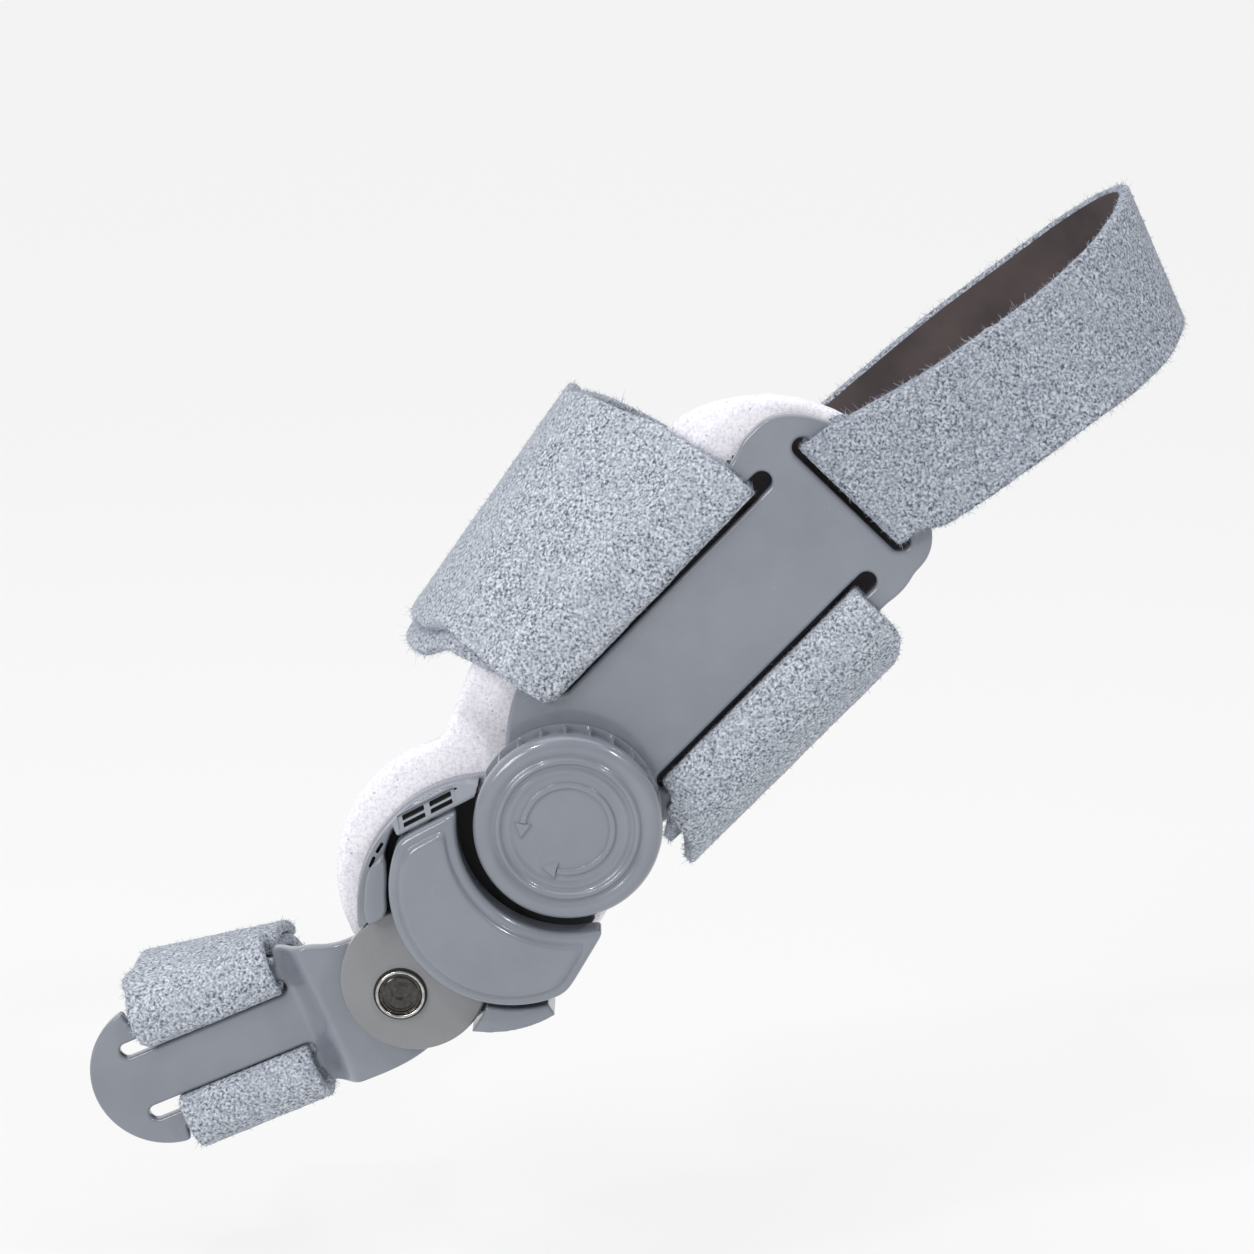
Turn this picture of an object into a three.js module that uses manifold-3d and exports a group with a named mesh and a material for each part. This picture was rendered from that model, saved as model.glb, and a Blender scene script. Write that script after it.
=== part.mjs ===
// Bunion corrector for the right foot, in the bent posture in which it is worn. Millimetres.
// The brace frame has x along the plate toward the heel, y toward the instep and z outward,
// away from the foot. Its zero is midway between the two long slots, on the plate's inner face.
// The toe frame has its zero on the rivet, and x from the toe toward the rivet.
import * as THREE from "three";
import { mergeVertices } from "three/addons/utils/BufferGeometryUtils.js";
import Module from "manifold-3d";

const wasm = await Module();
wasm.setup();

// Clearances
const gap = 0.3;
const joinGap = 0.4;

// Posture, in degrees
const plateRise = 46;
const toeRise = 22.8;

// Sheet thicknesses
const plateThick = 3;
const armThick = 2.4;
const foamThick = 5;
const strapThick = 2.2;

// Side plate
const slotLength = 54.6;
const slotWidth = 3.7;
const slotSpacing = 26.1;
const rimWidth = 3.6;
const headFlare = 2.1;
const rearSlotLength = 28;
const rearSlotOffset = 7.45;
const rearRim = 6.9;

// Joint, as distances from the middle of the slots
const dialBack = 42;
const jointDrop = 4.4;
const baseBack = 64.3;
const baseDrop = 1.6;
const coverDrop = 0.8;
const coverBack = 57.5;
const hubBack = 83.3;
const rivetBack = 87;
const rivetDrop = 1;

// Joint base
const baseRadius = 24.1;
const baseFoot = 22.5;
const ledgeTop = 4.8;
const wallTop = 10.2;
const wallSlope = 2.5;
const padTop = 9;
const padStep = 2.2;
const padEdge = 1.6;
const padGap = 1.5;
const ventLength = 4;
const ventWidth = 0.9;

// Cover
const coverRadius = 21.9;
const coverTop = 13;
const coverInset = 1.7;
const coverStep = 0.7;
const coverClear = 3;
const coverUpper = 17.3;
const coverUpperAngle = 71.7;
const coverLower = 18.4;
const coverLowerAngle = -75.9;
const coverRight = 5.9;

// Dial
const dialRadius = 16.9;
const dialTop = 14;
const dialBevel = 1.3;
const dialRidge = 12.4;
const arrowRadius = 8.1;
const arrowWidth = 0.9;
const reliefHeight = 0.4;
const pocketCount = 24;
const pocketWidth = 2.9;
const pocketHeight = 6.4;
const pocketDepth = 0.7;
const bossRadius = 5;
const bossHeight = 5;

// Hub disc and rivet
const hubRadius = 13.4;
const hubThick = 3;
const tongueLength = 22;
const tongueWidth = 21;
const rivetHead = 4.5;
const rivetRise = 0.6;
const rivetShank = 2.2;
const rivetTail = 3.6;
const rivetTailThick = 0.8;

// Toe arm, as distances from the rivet
const armReach = 48.5;
const armEnd = 14;
const armSeat = 10.6;
const armShoulder = 14;
const armRoot = 12.6;
const armStep = 7.3;
const stepStart = 13.8;
const stepLength = 7;
const toeSlotFirst = 20.9;
const toeSlotLast = 54.6;
const toeSlotSpacing = 13.1;
const toeSlotWidth = 2.8;

// Foam pad
const foamLobe = 25.2;
const foamLobeBack = 62.8;
const foamLobeDrop = 0.6;
const foamCrest = 30.9;
const foamSole = 17.4;
const wingSpan = 12.5;
const wingDrop = 6.1;

// Straps
const midStrapWidth = 54.6;
const midStrapShift = 4;
const slotEase = 1;
const instepFront = 34.2;
const instepRear = 42.5;
const soleDepth = 25.2;
const footWidth = 79;
const strapLean = 11;
const ringSkew = 4.5;
const heelStrapWidth = 25;
const heelReach = 58.2;
const heelFall = 15.8;
const heelLapLength = 5;
const toeStrapWidth = 26.5;
const toeHeightFront = 15.2;
const toeHeightRear = 9.6;
const toeSoleDepth = 13.4;
const toeDepth = 30;
const toeSkew = 3.6;
const toeSpread = 1.6;

// Places and levels that follow from the sizes
const strapLift = gap + strapThick / 2;
const lap = strapThick + gap;
const slotHalf = slotSpacing / 2;
const slotInner = slotHalf - slotWidth / 2;
const slotOuter = slotHalf + slotWidth / 2;
const plateHalf = slotOuter + rimWidth;
const rearSlotX = slotLength / 2 + rearSlotOffset;
const rearSlotOuter = rearSlotX + slotWidth / 2;
const plateRear = rearSlotOuter + rearRim;
const hubBottom = plateThick + gap;
const hubTop = hubBottom + hubThick;
const coverBottom = hubTop + gap;
const armTop = hubBottom - gap - 0.3;
const armBottom = armTop - armThick;
const toeSlotHalf = toeSlotSpacing / 2;
const toeSlotOuter = toeSlotHalf + toeSlotWidth / 2;
const toePlateTop = armTop - armStep;
const toePlateBottom = toePlateTop - armThick;
const dialPoint = new THREE.Vector2(-dialBack, -jointDrop);
const basePoint = new THREE.Vector2(-baseBack, -jointDrop - baseDrop);
const coverPoint = new THREE.Vector2(-coverBack, -jointDrop - coverDrop);
const hubPoint = new THREE.Vector2(-hubBack, -jointDrop - rivetDrop);
const rivetPoint = new THREE.Vector2(-rivetBack, -jointDrop - rivetDrop);

const radians = THREE.MathUtils.degToRad;

// Materials
const finish = (color, roughness, metalness = 0) =>
  new THREE.MeshStandardMaterial({ color, roughness, metalness });
const moulded = finish(0x868c95, 0.42);
const hubPlastic = finish(0x8b8f8e, 0.45);
const foam = finish(0xe7e6ee, 0.95);
const loopFabric = finish(0x8d98a4, 0.98);
const steel = finish(0x8f8d89, 0.3, 1);

// A manifold-3d solid from a closed three.js geometry
function solid(geometry) {
  const bare = new THREE.BufferGeometry();
  const plain = geometry.index ? geometry.toNonIndexed() : geometry;
  bare.setAttribute("position", plain.getAttribute("position"));
  const merged = mergeVertices(bare, 1e-4);
  return new wasm.Manifold(
    new wasm.Mesh({
      numProp: 3,
      vertProperties: merged.attributes.position.array,
      triVerts: new Uint32Array(merged.index.array),
    }),
  );
}

// A flat-shaded three.js mesh from a manifold-3d solid
function meshOf(name, body, material) {
  const made = body.getMesh();
  const indexed = new THREE.BufferGeometry();
  indexed.setAttribute("position", new THREE.BufferAttribute(made.vertProperties, 3));
  indexed.setIndex(new THREE.BufferAttribute(made.triVerts, 1));
  const geometry = indexed.toNonIndexed();
  geometry.computeVertexNormals();
  const mesh = new THREE.Mesh(geometry, material);
  mesh.name = name;
  return mesh;
}

// A shape raised between two levels of z
function prism(shape, low, high, curveSegments = 24) {
  const options = { depth: high - low, bevelEnabled: false, curveSegments };
  return solid(new THREE.ExtrudeGeometry(shape, options).translate(0, 0, low));
}

// A round disc between two levels
function disc(centre, radius, low, high, sides = 48) {
  const shape = new THREE.Shape();
  shape.absarc(centre.x, centre.y, radius, 0, Math.PI * 2, false);
  return prism(shape, low, high, sides);
}

// A slot with round ends along x between two places
function slotShape(x0, x1, y, width) {
  const r = width / 2;
  const shape = new THREE.Shape();
  shape.absarc(x1 - r, y, r, -Math.PI / 2, Math.PI / 2, false);
  shape.absarc(x0 + r, y, r, Math.PI / 2, (Math.PI * 3) / 2, false);
  return shape;
}

// A pie slice round a centre, between two angles in degrees
function slice(centre, radius, from, to, low, high) {
  const shape = new THREE.Shape();
  shape.moveTo(centre.x, centre.y);
  const steps = 6;
  for (let i = 0; i <= steps; i++) {
    const a = radians(from + ((to - from) * i) / steps);
    shape.lineTo(centre.x + radius * Math.cos(a), centre.y + radius * Math.sin(a));
  }
  return prism(shape, low, high);
}

// A closed sheet over a grid of x and y places, its upper face at level(x, y)
function bentSheet(xs, ys, level, thickness) {
  const positions = [];
  const index = [];
  const columns = ys.length;
  const half = xs.length * columns;
  for (const side of [0, 1]) {
    for (const x of xs) {
      for (const y of ys) {
        positions.push(x, y, level(x, y) - side * thickness);
      }
    }
  }
  const quad = (a, b, c, d) => index.push(a, b, c, a, c, d);
  for (let i = 0; i < xs.length - 1; i++) {
    for (let j = 0; j < columns - 1; j++) {
      const a = i * columns + j;
      quad(a, a + columns, a + columns + 1, a + 1);
      quad(half + a, half + a + 1, half + a + columns + 1, half + a + columns);
    }
  }
  const rim = [];
  for (let i = 0; i < xs.length; i++) rim.push(i * columns);
  for (let j = 1; j < columns; j++) rim.push((xs.length - 1) * columns + j);
  for (let i = xs.length - 2; i >= 0; i--) rim.push(i * columns + columns - 1);
  for (let j = columns - 2; j > 0; j--) rim.push(j);
  rim.forEach((a, i) => {
    const b = rim[(i + 1) % rim.length];
    quad(half + a, half + b, b, a);
  });
  const geometry = new THREE.BufferGeometry();
  geometry.setAttribute("position", new THREE.Float32BufferAttribute(positions, 3));
  geometry.setIndex(index);
  return solid(geometry);
}

// How far the inner layer of a strap lies behind the plate's inner face at height y
function strapBacking(y) {
  const past = Math.max(0, y - plateHalf) / wingSpan;
  return strapLift + wingDrop * past * past;
}

// Side plate: the head, the rims of the slots and the round end under the dial
function sidePlateShape() {
  const top = plateHalf + headFlare;
  const front = -slotLength / 2 - 3;
  const shape = new THREE.Shape();
  shape.moveTo(-dialBack, -jointDrop - dialRadius * 0.84);
  shape.lineTo(front - 3, -plateHalf + 1.2);
  shape.quadraticCurveTo(front, -plateHalf, front + 3, -plateHalf);
  shape.lineTo(slotLength / 2 - 2, -plateHalf);
  shape.quadraticCurveTo(slotLength / 2 + 2, -plateHalf - 0.8, slotLength / 2 + 5, -plateHalf + 0.4);
  shape.lineTo(rearSlotX - 1, -plateHalf + 0.4);
  shape.bezierCurveTo(rearSlotX + 5.5, -plateHalf + 0.4, plateRear, -11, plateRear, -2);
  shape.lineTo(plateRear, 2);
  shape.bezierCurveTo(plateRear - 0.4, 12, rearSlotX + 2.8, top, rearSlotX - 2.8, top);
  shape.lineTo(slotLength / 2 + 1, top);
  shape.quadraticCurveTo(slotLength / 2 - 3, plateHalf + 0.3, slotLength / 2 - 8, plateHalf);
  shape.lineTo(front - 1, plateHalf - 0.2);
  shape.quadraticCurveTo(front - 4, plateHalf - 1, front - 8, plateHalf - 4);
  shape.lineTo(-dialBack - 2, -jointDrop + dialRadius - 0.9);
  return shape;
}

function sidePlate() {
  const half = slotLength / 2;
  const floor = disc(dialPoint, dialRadius - 1.6, 0, plateThick);
  const slots = [
    slotShape(-half, half, slotHalf, slotWidth),
    slotShape(-half, half, -slotHalf, slotWidth),
  ];
  const rearSlot = slotShape(-rearSlotLength / 2, rearSlotLength / 2, -rearSlotX, slotWidth);
  let body = prism(sidePlateShape(), 0, plateThick, 10).add(floor);
  for (const shape of slots) {
    body = body.subtract(prism(shape, -1, plateThick + 1, 8));
  }
  body = body.subtract(prism(rearSlot, -1, plateThick + 1, 8).rotate([0, 0, 90]));
  return body.add(disc(dialPoint, bossRadius, plateThick - 0.5, plateThick + bossHeight, 24));
}

// A straight-sided block that holds all within a distance of a centre, in one direction
function within(centre, distance, angle, low, high) {
  const size = 80;
  const shape = new THREE.Shape();
  shape.moveTo(distance - size, -size);
  shape.lineTo(distance, -size);
  shape.lineTo(distance, size);
  shape.lineTo(distance - size, size);
  return prism(shape, low, high).rotate([0, 0, angle]).translate([centre.x, centre.y, 0]);
}

// The cover's outline, moved inward by an inset: round, cut straight at both horns and on the
// dial's side, without its bite
function coverRound(inset, low, high) {
  return disc(coverPoint, coverRadius - inset, low, high, 56)
    .intersect(within(coverPoint, coverUpper - inset, coverUpperAngle, low - 1, high + 1))
    .intersect(within(coverPoint, coverLower - inset, coverLowerAngle, low - 1, high + 1))
    .intersect(within(coverPoint, coverRight - inset, 0, low - 1, high + 1));
}

// Joint base: a floor, a sloped wall with vents above a ledge, and a flange pad on each side
// of the hub disc
const wallSector = { from: 30, to: 91 };
const leftPad = { from: 92, flatFrom: 118, to: 160 };
const lowerPad = { from: 205, to: 256 };
const vents = [
  { along: 9.6, up: 0.25 },
  { along: 9.6, up: 0.7 },
  { along: 4, up: 0.25 },
  { along: 4, up: 0.7 },
];

function ventWall() {
  const near = coverUpper + joinGap;
  const profile = new THREE.Shape();
  profile.moveTo(near, plateThick - 0.1);
  profile.lineTo(near + wallSlope, plateThick - 0.1);
  profile.lineTo(near + wallSlope, ledgeTop);
  profile.lineTo(near + 0.6, wallTop);
  profile.lineTo(near, wallTop);
  const length = coverRadius * 2;
  let wall = prism(profile, -length / 2, length / 2).rotate([90, 0, 0]);
  for (const vent of vents) {
    const place = near + wallSlope + (0.6 - wallSlope) * vent.up;
    const level = ledgeTop + (wallTop - ledgeTop) * vent.up;
    const cut = solid(new THREE.BoxGeometry(2.4, ventLength, ventWidth));
    wall = wall.subtract(cut.rotate([0, 20, 0]).translate([place, vent.along, level]));
  }
  return wall.rotate([0, 0, coverUpperAngle]).translate([coverPoint.x, coverPoint.y, 0]);
}

function jointBase() {
  const below = -0.5;
  const notch = disc(rivetPoint, armRoot + 2, below, plateThick + 0.2);
  const dialRoom = disc(dialPoint, dialRadius - 1.6 + gap, below, plateThick + 0.5);
  const dialSweep = disc(dialPoint, dialRadius + joinGap, plateThick, dialTop + 1);
  const hubRoom = disc(hubPoint, hubRadius + joinGap, plateThick, padTop + 1);
  const plateRoom = prism(sidePlateShape(), below, plateThick + 0.2, 10);
  const sector = (angles, low, high) => slice(basePoint, 60, angles.from, angles.to, low, high);
  const upper = disc(basePoint, baseRadius, 0, plateThick);
  const lower = disc(basePoint, baseFoot, 0, plateThick);
  let body = upper
    .intersect(sector({ from: wallSector.from, to: leftPad.to }, below, plateThick + 1))
    .add(lower.intersect(sector({ from: leftPad.to, to: lowerPad.to }, below, plateThick + 1)))
    .add(coverRound(1.4, 0, plateThick));
  const ledge = disc(basePoint, baseRadius - 0.3, plateThick - 0.1, ledgeTop)
    .intersect(sector(wallSector, 0, padTop))
    .subtract(coverRound(-joinGap, 0, padTop));
  const walled = disc(basePoint, baseRadius - 0.3, 0, wallTop + 1);
  const wall = ventWall().intersect(walled).intersect(sector(wallSector, 0, wallTop + 1));
  body = body.add(ledge).add(wall);
  const clear = disc(coverPoint, coverRadius + padGap, 0, padTop + 1, 56).add(hubRoom);
  const leftEdge = disc(basePoint, baseRadius - 0.3, plateThick - 0.1, padTop - padStep);
  const leftFlat = disc(basePoint, baseRadius - padEdge, plateThick - 0.1, padTop);
  const flatSector = { from: leftPad.flatFrom, to: leftPad.to };
  const lowerFlat = disc(basePoint, baseFoot, plateThick - 0.1, padTop);
  body = body
    .add(leftEdge.intersect(sector(leftPad, 0, padTop + 1)).subtract(clear))
    .add(leftFlat.intersect(sector(flatSector, 0, padTop + 1)).subtract(clear))
    .add(lowerFlat.intersect(sector(lowerPad, 0, padTop + 1)).subtract(clear));
  return body.subtract(notch).subtract(dialRoom).subtract(dialSweep).subtract(plateRoom);
}

// Crescent cover: its outline with a round bite for the dial, and a raised inner panel
function crescent(inset, low, high) {
  const bite = dialRadius + coverClear + inset * 1.25;
  return coverRound(inset, low, high).subtract(disc(dialPoint, bite, low - 1, high + 1, 56));
}

function crescentCover() {
  const shell = crescent(0, coverBottom, coverTop - coverStep - 0.6);
  const shoulder = crescent(0.6, coverTop - coverStep - 0.7, coverTop - coverStep);
  return shell.add(shoulder).add(crescent(coverInset, coverTop - coverStep - 0.1, coverTop));
}

// Dial: turned body, pockets round the grip, and a two-headed arrow on its face
function dialBody() {
  const low = plateThick + gap;
  const inset = dialRadius - dialBevel;
  const points = [
    new THREE.Vector2(0, low),
    new THREE.Vector2(dialRadius, low),
    new THREE.Vector2(dialRadius, dialTop - dialBevel),
    new THREE.Vector2(inset, dialTop - 0.2),
    new THREE.Vector2(dialRidge + 1, dialTop - 0.6),
    new THREE.Vector2(dialRidge + 0.4, dialTop),
    new THREE.Vector2(dialRidge - 0.4, dialTop),
    new THREE.Vector2(dialRidge - 1, dialTop - 0.6),
    new THREE.Vector2(0, dialTop - 0.6),
  ];
  const turned = new THREE.LatheGeometry(points, 48).rotateX(Math.PI / 2);
  return solid(turned);
}

function arrowRelief() {
  const half = arrowWidth / 2;
  const low = dialTop - 0.7;
  const high = dialTop - 0.6 + reliefHeight;
  const from = radians(-150);
  const to = radians(126);
  const shape = new THREE.Shape();
  shape.absarc(0, 0, arrowRadius + half, from, to, false);
  shape.absarc(0, 0, arrowRadius - half, to, from, true);
  let arrow = prism(shape, low, high, 16);
  for (const end of [{ a: to, turn: 1 }, { a: from, turn: -1 }]) {
    const head = new THREE.Shape();
    head.moveTo(-arrowWidth * 1.7, 0);
    head.lineTo(arrowWidth * 1.7, 0);
    head.lineTo(0, end.turn * arrowWidth * 3);
    const place = [arrowRadius * Math.cos(end.a), arrowRadius * Math.sin(end.a), 0];
    const turned = prism(head, low, high).rotate([0, 0, THREE.MathUtils.radToDeg(end.a)]);
    arrow = arrow.add(turned.translate(place));
  }
  return arrow;
}

function dial() {
  let body = dialBody().add(arrowRelief());
  for (let i = 0; i < pocketCount; i++) {
    const pocket = solid(new THREE.BoxGeometry(pocketDepth * 2, pocketWidth, pocketHeight));
    const placed = pocket.translate([dialRadius, 0, plateThick + gap + 1.2 + pocketHeight / 2]);
    body = body.subtract(placed.rotate([0, 0, (360 * i) / pocketCount]));
  }
  const socket = disc(new THREE.Vector2(), bossRadius + gap, 0, plateThick + bossHeight + gap, 24);
  return body.subtract(socket);
}

// Hub disc: a round end over the toe arm and a tongue under the cover
function hubDisc() {
  const tongue = new THREE.Shape();
  tongue.moveTo(0, -tongueWidth / 2);
  tongue.lineTo(tongueLength, -tongueWidth / 2);
  tongue.lineTo(tongueLength, tongueWidth / 2);
  tongue.lineTo(0, tongueWidth / 2);
  const centre = new THREE.Vector2(rivetBack - hubBack, 0);
  const body = disc(centre, hubRadius, hubBottom, hubTop, 40).add(prism(tongue, hubBottom, hubTop));
  return body.subtract(disc(new THREE.Vector2(), rivetShank + gap, 0, hubTop + 1, 24));
}

// Rivet: a low head with a ring groove, a shank, and a tail let into the arm
function rivet() {
  const head = hubTop + gap;
  const tail = armBottom + gap;
  const points = [
    new THREE.Vector2(0, tail),
    new THREE.Vector2(rivetTail, tail),
    new THREE.Vector2(rivetTail, tail + rivetTailThick),
    new THREE.Vector2(rivetShank, tail + rivetTailThick),
    new THREE.Vector2(rivetShank, head),
    new THREE.Vector2(rivetHead, head),
    new THREE.Vector2(rivetHead, head + rivetRise),
    new THREE.Vector2(rivetHead * 0.86, head + rivetRise),
    new THREE.Vector2(rivetHead * 0.8, head + rivetRise - 0.3),
    new THREE.Vector2(0, head + rivetRise - 0.3),
  ];
  return solid(new THREE.LatheGeometry(points, 32).rotateX(Math.PI / 2));
}

// Toe arm: a round root under the hub disc, a step inward, and the slotted toe plate
function toeArmShape() {
  const tip = -armReach;
  const seatFrom = -toeSlotFirst + 0.4;
  const seatTo = -toeSlotFirst - slotEase - toeStrapWidth - 0.6;
  const turnFrom = (x) => Math.acos((x - 0.6 - tip) / armEnd);
  const shape = new THREE.Shape();
  shape.moveTo(0, -armRoot);
  shape.absarc(0, 0, armRoot, -Math.PI / 2, radians(98), false);
  shape.quadraticCurveTo(-7, armRoot - 1.6, -11.5, armEnd - 0.8);
  shape.quadraticCurveTo(-15, armEnd + 0.6, seatFrom, armEnd);
  shape.lineTo(seatFrom - 0.9, armSeat);
  shape.lineTo(seatTo - toeSpread, armSeat);
  shape.absarc(tip, 0, armEnd, turnFrom(seatTo - toeSpread), Math.PI * 2 - turnFrom(seatTo), false);
  shape.lineTo(seatTo, -armSeat);
  shape.lineTo(seatFrom - 0.9, -armSeat);
  shape.lineTo(seatFrom, -armEnd + 0.4);
  shape.quadraticCurveTo(-15, -armShoulder, -10, -armShoulder);
  shape.quadraticCurveTo(-4, -armShoulder, 0, -armRoot);
  return shape;
}

function armLevel(x) {
  const along = THREE.MathUtils.clamp((-x - stepStart) / stepLength, 0, 1);
  return armTop - (armStep * (1 - Math.cos(Math.PI * along))) / 2;
}

function toeArm() {
  const steps = 8;
  const xs = [-armReach - armEnd - 2];
  for (let i = steps; i >= 0; i--) xs.push(-stepStart - (stepLength * i) / steps);
  xs.push(armRoot + 2);
  const wide = armShoulder + 4;
  let body = bentSheet(xs, [-wide, wide], armLevel, armThick);
  body = body.intersect(prism(toeArmShape(), toePlateBottom - 1, armTop + 1, 12));
  for (const side of [-1, 1]) {
    const slot = slotShape(-toeSlotLast, -toeSlotFirst, side * toeSlotHalf, toeSlotWidth);
    body = body.subtract(prism(slot, toePlateBottom - 1, armTop + 1, 8));
  }
  const rivetAxis = new THREE.Vector2();
  const tailTop = armBottom + gap + rivetTailThick + gap;
  body = body.subtract(disc(rivetAxis, rivetShank + gap, armBottom - 1, armTop + 1, 24));
  return body.subtract(disc(rivetAxis, rivetTail + gap, armBottom - 1, tailTop, 24));
}

// Foam pad: flat between the slots, set back for the straps behind the rims, with no lobe in
// the sector toward the sole
const footSide = { from: 247, to: 352 };

function foamPad() {
  const flat = slotInner - 3.6;
  const back = slotInner - 0.4;
  const head = rearSlotX - slotWidth / 2 - 4;
  const rest = -dialBack - 3;
  const set = (y) => Math.max(0, strapBacking(y) + strapLift - gap);
  const level = (x, y) => {
    const mid = Math.abs(y) < flat + 0.1;
    const strapped = x > rest + 1;
    const behindHead = x > head + 2;
    if (!strapped) return -gap - (set(y) - set(0)) * 0.6;
    if (mid && !behindHead) return -gap;
    return -gap - set(y);
  };
  const wings = [0.5, 1, 1.5].map((share) => plateHalf + wingSpan * share);
  const xs = [-foamLobeBack - foamLobe - 2, rest - 6, rest, rest + 5, head, head + 3.5, plateRear + 3];
  const ys = [-foamLobe - 12, -back, -flat, flat, back, plateHalf, ...wings];
  const sheet = bentSheet(xs, ys, level, foamThick);
  const shape = new THREE.Shape();
  const neck = -dialBack - 7.8;
  shape.moveTo(neck + 14, -foamSole);
  shape.lineTo(rearSlotX - 6, -foamSole);
  shape.bezierCurveTo(plateRear - 1, -foamSole, plateRear + 0.6, -8, plateRear + 0.6, 6);
  shape.bezierCurveTo(plateRear - 1, 19, rearSlotX - 2, foamCrest - 3.5, slotLength / 2 - 5, foamCrest - 1.2);
  shape.bezierCurveTo(10, foamCrest + 0.6, -22, foamCrest + 0.6, neck + 14, foamCrest - 5);
  shape.lineTo(neck, plateHalf + 1.9);
  const lobe = disc(new THREE.Vector2(-foamLobeBack, -foamLobeDrop), foamLobe, -40, 1, 48);
  const strip = prism(shape, -40, 1, 12);
  const cleared = slice(coverPoint, 3 * coverRadius, footSide.from, footSide.to, -41, 2);
  const keep = disc(coverPoint, coverRadius - 3, -40, 1, 48).add(strip);
  return sheet.intersect(lobe.subtract(cleared).add(keep));
}

// A closed strip between two edge curves, given as stations on its middle surface
function strip(stations, thickness) {
  const positions = [];
  const index = [];
  const count = stations.length;
  const along = new THREE.Vector3();
  const across = new THREE.Vector3();
  stations.forEach((station, i) => {
    const before = stations[Math.max(0, i - 1)];
    const after = stations[Math.min(count - 1, i + 1)];
    across.subVectors(station.b, station.a).normalize();
    for (const edge of ["a", "b"]) {
      along.subVectors(after[edge], before[edge]);
      const normal = new THREE.Vector3().crossVectors(across, along).normalize();
      for (const side of [0.5, -0.5]) {
        const point = station[edge].clone().addScaledVector(normal, side * thickness);
        positions.push(point.x, point.y, point.z);
      }
    }
  });
  const quad = (a, b, c, d) => index.push(a, b, c, a, c, d);
  for (let i = 0; i < count - 1; i++) {
    const n = i * 4;
    quad(n, n + 2, n + 6, n + 4);
    quad(n + 1, n + 5, n + 7, n + 3);
    quad(n, n + 4, n + 5, n + 1);
    quad(n + 2, n + 3, n + 7, n + 6);
  }
  const end = (count - 1) * 4;
  quad(0, 1, 3, 2);
  quad(end, end + 2, end + 3, end + 1);
  const geometry = new THREE.BufferGeometry();
  geometry.setAttribute("position", new THREE.Float32BufferAttribute(positions, 3));
  geometry.setIndex(index);
  return solid(geometry);
}

// Stations of a strap's middle surface through rows of edge points, some for each row
function stationsThrough(rows, perRow) {
  const curveA = new THREE.CatmullRomCurve3(rows.map((row) => row.a), false, "centripetal");
  const curveB = new THREE.CatmullRomCurve3(rows.map((row) => row.b), false, "centripetal");
  const stations = [];
  const count = (rows.length - 1) * perRow;
  for (let i = 0; i <= count; i++) {
    stations.push({ a: curveA.getPoint(i / count), b: curveB.getPoint(i / count) });
  }
  return stations;
}

// The same stations moved along the strap's outward normal by a distance for each station
function offsetStations(stations, distance) {
  const count = stations.length;
  return stations.map((station, i) => {
    const before = stations[Math.max(0, i - 1)];
    const after = stations[Math.min(count - 1, i + 1)];
    const across = new THREE.Vector3().subVectors(station.b, station.a);
    const moved = {};
    for (const edge of ["a", "b"]) {
      const along = new THREE.Vector3().subVectors(after[edge], before[edge]);
      const normal = new THREE.Vector3().crossVectors(across, along).normalize();
      moved[edge] = station[edge].clone().addScaledVector(normal, distance(i));
    }
    return moved;
  });
}

// A strap's turn round a rim, from its outer side to its inner side. place(height, level)
// gives the two edge points at a height across the slot and a level of z.
function rimTurn(place, corner, sign, top, bottom, steps = 3) {
  const turn = [];
  for (let i = 0; i <= steps; i++) {
    const a = (Math.PI / 2) * (i / steps);
    turn.push(place(corner - sign * strapLift * Math.sin(a), top + strapLift * Math.cos(a)));
  }
  for (let i = 0; i <= steps; i++) {
    const a = (Math.PI / 2) * (i / steps);
    turn.push(place(corner - sign * strapLift * Math.cos(a), bottom - strapLift * Math.sin(a)));
  }
  return turn;
}

// How far an outer lap lies off the inner layer: wide over the rim, then close
function lapOffset(plate, rimSteps, easeSteps) {
  const wide = plate + 2 * strapLift;
  return (i) => {
    const ease = THREE.MathUtils.smoothstep(i, rimSteps, rimSteps + easeSteps);
    return wide + (lap - wide) * ease;
  };
}

// Midfoot strap: rows from the upper rim over the instep and under the sole to the lower rim.
// rim is a share of the plate's half height, reach a share of the way on to the instep's crest
// or, below zero, to the sole. depth is a share of the foot's width, lean of the strap's lean.
const midfootRows = [
  { rim: 1, reach: 0.89, depth: 0.17, lean: -0.6 },
  { rim: 1, reach: 1, depth: 0.33, lean: -0.85 },
  { rim: 1, reach: 0.93, depth: 0.55, lean: -0.9 },
  { rim: 1, reach: 0.6, depth: 0.78, lean: -0.85 },
  { rim: 1, reach: 0.1, depth: 0.94, lean: -0.75 },
  { rim: 0.45, reach: 0, depth: 1, lean: -0.6 },
  { rim: -0.1, reach: 0, depth: 1, lean: -0.5 },
  { rim: -0.75, reach: 0, depth: 1, lean: -0.45 },
  { rim: -1, reach: -0.42, depth: 0.94, lean: -0.4 },
  { rim: -1, reach: -0.9, depth: 0.78, lean: -0.4 },
  { rim: -1, reach: -1, depth: 0.52, lean: -0.45 },
  { rim: -1, reach: -0.95, depth: 0.26, lean: -0.5 },
  { rim: -1, reach: -0.62, depth: 0.09, lean: -0.35 },
];

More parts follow.
